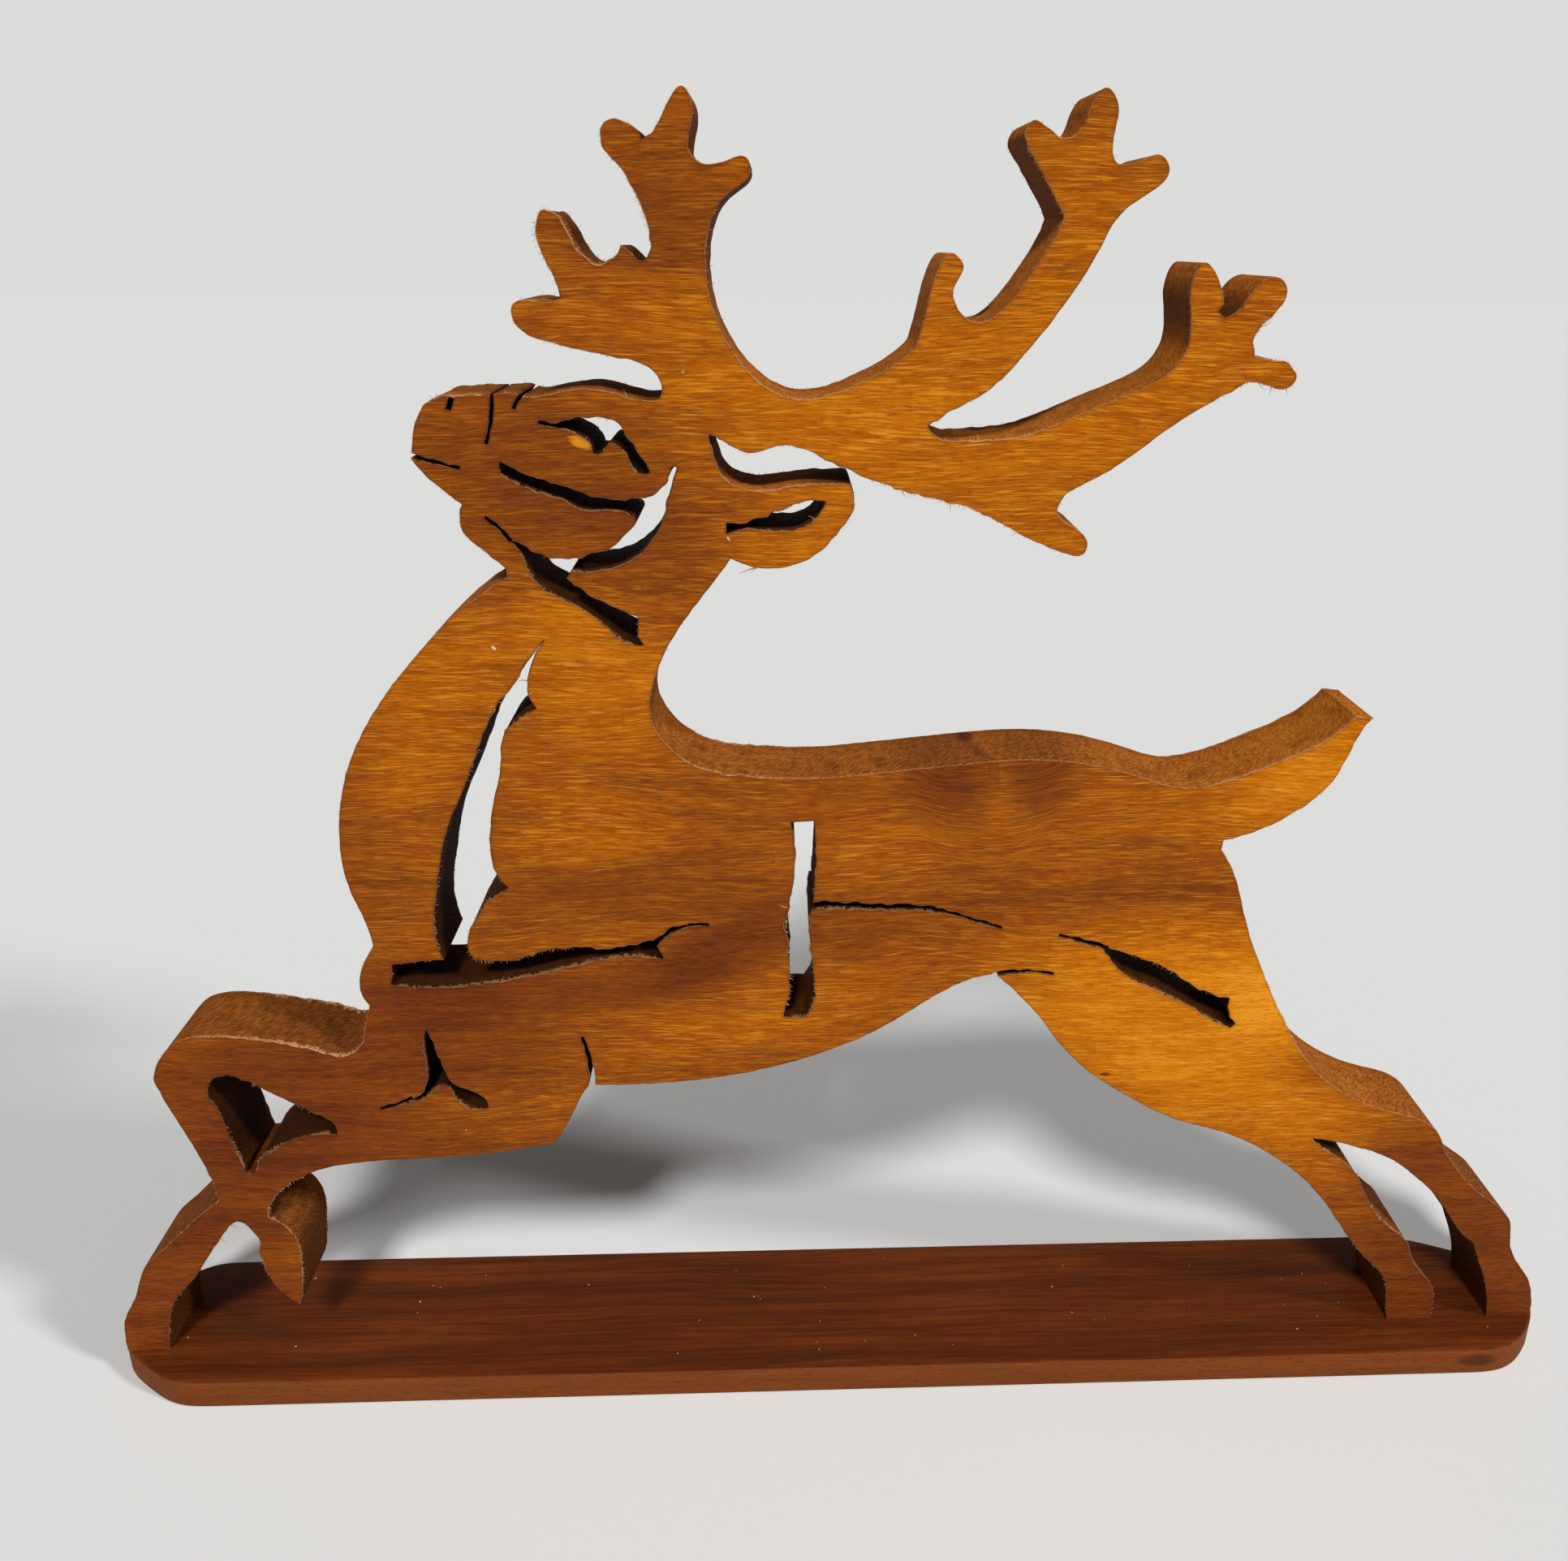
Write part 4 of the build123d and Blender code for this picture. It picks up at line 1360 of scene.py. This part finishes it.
@dataclass
class BasePlate:
    """Thin plate under the hooves, with eased edges and three screw holes, in millimetres.

    step is the spacing of the outline's points, corner the turn that stays sharp, soften how
    often the outline is smoothed, ease the radius of the edges and hole_radius more than that
    of any hole.
    """

    node: str = "base_board"
    step: float = 1.2
    corner: float = 1.2
    soften: int = 9
    ease: float = 0.6
    ease_steps: int = 4
    worn: float = 0.04
    hole_radius: float = 4.5
    grid: float = 4.0
    sharp_angle: float = 40.0

    def is_hole(self, line: np.ndarray) -> bool:
        """True if a closed line is the rim of a screw hole."""
        return bool(np.ptp(line[:, 0]) < 2 * self.hole_radius)

    def edges(self, book: PointBook, outline: np.ndarray, bottom: float,
              top: float) -> tuple[list[int], list[int]]:
        """Builds the edge faces, rounded above and below.

        Args:
            book: where the points and faces go.
            outline: closed line of the upper face.
            bottom: height of the lower face.
            top: height of the upper face.

        Returns:
            Point numbers round the upper and the lower face.
        """
        smoother = SawnBoard(step=self.step, corner=self.corner)
        outer = smoother.make_loop(outline)
        for _ in range(self.soften):
            ahead, behind = np.roll(outer.points, -1, 0), np.roll(outer.points, 1, 0)
            outer.points = (ahead + 2 * outer.points + behind) / 4
        turn = [math.pi / 2 * k / self.ease_steps for k in range(self.ease_steps + 1)]
        rounds = [(self.ease * math.sin(a), self.ease * (1 - math.cos(a))) for a in turn]
        levels = [(out, top - drop) for out, drop in rounds]
        levels += [(out, bottom + drop) for out, drop in rounds[::-1]]
        worn = self.worn * wander(np.random.default_rng(8), len(outer.points), 6)
        rings = []
        for out, z in levels:
            flat = smoother.ring(outer, out + worn * min(out, 1.0))
            rings.append([book.number(x, y, z) for x, y in flat])
        for upper, lower in zip(rings, rings[1:]):
            book.faces += join_rings(lower, upper)
        return rings[0], rings[-1]

    def cap(self, book: PointBook, lines: list[np.ndarray], z: float, sign: int) -> None:
        """Fills a flat face between its outer line and its holes.

        Args:
            book: where the points and faces go.
            lines: the outer line, then the holes.
            z: height of the face.
            sign: 1 if it faces up, -1 if down.
        """
        low, high = lines[0].min(0), lines[0].max(0)
        xs = np.arange(low[0] + self.grid, high[0], self.grid)
        ys = np.arange(low[1] + self.grid, high[1], self.grid)
        inner = np.array([(x + 0.3 * math.sin(y * 7), y) for x in xs for y in ys])
        rims = np.vstack(lines)
        gaps = np.array([np.hypot(*(rims - place).T).min() for place in inner])
        inner = inner[inside_lines(inner, lines) & (gaps > self.grid / 3)]
        places, _, triangles = fill_lines(lines, inner)
        book.faces += [[book.number(*places[i], z) for i in t][::sign] for t in triangles]

    def holes(self, book: PointBook, cad: bpy.types.Object, centres: list[np.ndarray]) -> None:
        """Takes over the walls of the screw holes.

        Args:
            book: where the points and faces go.
            cad: the CAD plate.
            centres: middles of the holes.
        """
        for face in cad.data.polygons:
            corners = [[c / MM for c in cad.data.vertices[i].co] for i in face.vertices]
            near = any(all(math.dist(c[:2], centre) < self.hole_radius for c in corners)
                       for centre in centres)
            heights = [c[2] for c in corners]
            if near and max(heights) - min(heights) > 1e-3:
                book.faces.append([book.number(*c) for c in corners])

    def build(self, cad: bpy.types.Object) -> bpy.types.Object:
        """Builds the plate with smooth round ends and the screw holes of the CAD plate.

        Args:
            cad: the CAD solid that this mesh stands for.

        Returns:
            The finished piece.
        """
        low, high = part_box(self.node)
        book, bottom, top = PointBook(), low.z / MM, high.z / MM
        tops = face_loops(cad, 2, high.z)
        outline = next(line for line in tops if not self.is_hole(line))
        upper, lower = self.edges(book, outline, bottom, top)
        for level, ring, sign in ((high.z, upper, 1), (low.z, lower, -1)):
            rims = [line for line in face_loops(cad, 2, level) if self.is_hole(line)]
            outer = np.array([book.points[i][:2] for i in ring])
            self.cap(book, [outer, *rims], level / MM, sign)
        self.holes(book, cad, [line.mean(0) for line in tops if self.is_hole(line)])
        piece = new_piece("base_plate", np.array(book.points) * MM, book.faces,
                          PlateFinish().material(top))
        piece.data.shade_smooth()
        piece.data.set_sharp_from_angle(angle=math.radians(self.sharp_angle))
        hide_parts(self.node)
        return piece


@dataclass
class Sawdust:
    """Specks of sawdust on the plate and a few on the animal's front face, in millimetres.

    margin keeps the specks off the plate's ends and sides. on_face gives X, Z and size, and
    chip_rings the height and the width of each ring of a chip, as shares.
    """

    count: int = 40
    sizes: tuple[float, float] = (0.10, 0.26)
    margin: tuple[float, float] = (14.0, 2.0)
    sides: int = 6
    thickness: tuple[float, float] = (0.08, 0.2)
    flatness: tuple[float, float] = (0.35, 0.9)
    sunk: float = 0.02
    chip_rings: tuple[tuple[float, float], ...] = ((0.0, 1.0), (0.6, 0.95), (1.0, 0.55))
    on_face: tuple[tuple[float, float, float], ...] = (
        (-28.5, 208.7, 0.42), (-63.5, 161.3, 0.55), (-21.5, 180.8, 0.45), (-77.0, 60.5, 0.2),
        (40.0, 96.0, 0.16), (-14.0, 121.0, 0.18),
    )
    rng: np.random.Generator = field(default_factory=lambda: np.random.default_rng(3))
    points: list[tuple[float, float, float]] = field(default_factory=list)
    faces: list[list[int]] = field(default_factory=list)

    def chip(self, place: Sequence[float], size: float, lying: bool) -> None:
        """Adds one flat chip.

        Args:
            place: its middle.
            size: its half width.
            lying: True if it lies on the plate, False if it sticks to the front face.
        """
        start, thick = len(self.points), self.rng.uniform(*self.thickness)
        turn, flat = self.rng.uniform(0, math.pi), self.rng.uniform(*self.flatness)
        for level, shrink in self.chip_rings:
            for i in range(self.sides):
                a = 2 * math.pi * i / self.sides
                u, v = size * shrink * math.cos(a), size * shrink * flat * math.sin(a)
                along = u * math.cos(turn) - v * math.sin(turn)
                aside = u * math.sin(turn) + v * math.cos(turn)
                out = thick * level - self.sunk
                offset = (along, aside, out) if lying else (along, -out, aside)
                self.points.append(tuple(p + o for p, o in zip(place, offset)))
        rings = [list(range(first, first + self.sides))
                 for first in range(start, len(self.points), self.sides)]
        for first, second in zip(rings, rings[1:]):
            self.faces += join_rings(first, second)
        self.faces += [rings[0][::-1], rings[-1]]

    def build(self, plate: BasePlate, board: SawnBoard) -> bpy.types.Object:
        """Builds all specks as one mesh.

        Args:
            plate: the plate that most lie on.
            board: the board that the others stick to.

        Returns:
            The finished piece.
        """
        low, high = (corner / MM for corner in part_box(plate.node))
        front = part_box(board.node)[0].y / MM
        end, side = self.margin
        for _ in range(self.count):
            x = self.rng.uniform(low.x + end, high.x - end)
            y = self.rng.uniform(low.y + side, high.y - side)
            self.chip((x, y, high.z), self.rng.uniform(*self.sizes), True)
        for x, z, size in self.on_face:
            self.chip((x, front, z), size, False)
        piece = new_piece("sawdust", np.array(self.points) * MM, self.faces,
                          DustFinish().material())
        return piece


@dataclass
class HoofScrews:
    """The three screws under the hooves."""

    nodes: tuple[str, ...] = ("fore_hoof_screw", "near_hind_hoof_screw", "far_hind_hoof_screw")

    def build(self, cad: dict[str, bpy.types.Object]) -> None:
        """Gives the CAD screws their finish in place of their own.

        Args:
            cad: the CAD nodes by name.
        """
        steel = SteelFinish().material()
        for name in self.nodes:
            cad[name].data.materials.clear()
            cad[name].data.materials.append(steel)


# ---- studio ------------------------------------------------------------------------------------
@dataclass(frozen=True)
class Sun:
    """A lamp far off: where it shines from, how many degrees wide it looks and how strong."""

    name: str
    place: tuple[float, float, float]
    width: float
    power: float

    def build(self) -> None:
        """Hangs the lamp and turns it to the part."""
        light = bpy.data.lights.new(self.name, "SUN")
        light.energy = self.power
        light.angle = math.radians(self.width)
        lamp = bpy.data.objects.new(self.name, light)
        lamp.location = self.place
        lamp.rotation_euler = (-lamp.location).to_track_quat("-Z", "Y").to_euler()
        bpy.context.scene.collection.objects.link(lamp)


@dataclass
class Studio:
    """Floor, background, lamps and camera.

    seen is the strength of the background to the camera, ambient its strength as a light. The
    camera's angles are in degrees, its lens in millimetres on a sensor 36 mm wide.
    """

    floor_size: float = 12.0
    sky: Colour = (0.80, 0.80, 0.785)
    seen: float = 0.895
    ambient: float = 0.13
    eye: tuple[float, float, float] = (-0.01265, -0.2546, 0.2293)
    pitch: float = 20.792
    yaw: float = 2.485
    roll: float = -0.442
    sensor: float = 36.0
    lens: float = 32.463
    shift: tuple[float, float] = (-0.0372, -0.0012)
    reach: tuple[float, float] = (0.01, 50.0)
    suns: tuple[Sun, ...] = (
        Sun("left", (-0.22, -1.0, 1.08), 10.0, 2.3),
        Sun("right", (1.0, -0.5, 0.75), 8.0, 1.5),
    )

    def floor(self) -> None:
        """Lays the floor at the underside of the part."""
        half, level = self.floor_size / 2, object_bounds()[0].z
        corners = [(half * x, half * y, level) for x, y in ((-1, -1), (1, -1), (1, 1), (-1, 1))]
        mesh = bpy.data.meshes.new("floor")
        mesh.from_pydata(corners, [], [(0, 1, 2, 3)])
        mesh.materials.append(FloorFinish().material())
        floor = bpy.data.objects.new("floor", mesh)
        bpy.context.scene.collection.objects.link(floor)
        floor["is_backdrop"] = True

    def background(self) -> None:
        """Pale background to the camera and to reflections, dimmer as a light."""
        world = bpy.data.worlds.new("studio")
        bpy.context.scene.world = world
        r = Recipe(world.name, world)
        rays = [r.node("ShaderNodeLightPath", output=f"Is {kind} Ray")
                for kind in ("Camera", "Glossy", "Transmission")]
        either = {"operation": "MAXIMUM"}
        direct = r.node("ShaderNodeMath", either, {0: rays[0], 1: rays[1]})
        direct = r.node("ShaderNodeMath", either, {0: direct, 1: rays[2]})
        dim, pale = (r.node("ShaderNodeBackground", None,
                            {"Color": (*self.sky, 1.0), "Strength": strength})
                     for strength in (self.ambient, self.seen))
        mix = r.node("ShaderNodeMixShader", None, {0: direct, 1: dim, 2: pale})
        r.node("ShaderNodeOutputWorld", None, {"Surface": mix})

    def camera(self) -> None:
        """Sets up the camera a little above the animal, looking down on it."""
        data = bpy.data.cameras.new("camera")
        data.sensor_width, data.lens = self.sensor, self.lens
        data.shift_x, data.shift_y = self.shift
        data.clip_start, data.clip_end = self.reach
        camera = bpy.data.objects.new("camera", data)
        camera.location = self.eye
        turn = [math.radians(a) for a in (90 - self.pitch, self.roll, -self.yaw)]
        camera.rotation_euler = Euler(turn, "XYZ")
        bpy.context.scene.collection.objects.link(camera)
        bpy.context.scene.camera = camera

    def build(self) -> None:
        """Builds the studio."""
        self.floor()
        self.background()
        for sun in self.suns:
            sun.build()
        self.camera()
        bpy.context.scene.view_settings.view_transform = "Standard"


def main() -> None:
    """Builds every piece and the studio."""
    logging.basicConfig(level=logging.INFO, format="%(name)s %(message)s")
    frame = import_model()
    nodes = frame["nodes"]
    board, plate, screws = SawnBoard(), BasePlate(), HoofScrews()
    steps = {
        "reindeer": lambda: board.build(nodes[board.node]),
        "torn_fibres": lambda: TornFibres(board).build(),
        "base_plate": lambda: plate.build(nodes[plate.node]),
        "sawdust": lambda: Sawdust().build(plate, board),
        "hoof_screws": lambda: screws.build(nodes),
        "studio": lambda: Studio().build(),
    }
    for name, build in steps.items():
        build()
        LOG.info("%s: done", name)


if __name__ == "__main__":
    main()
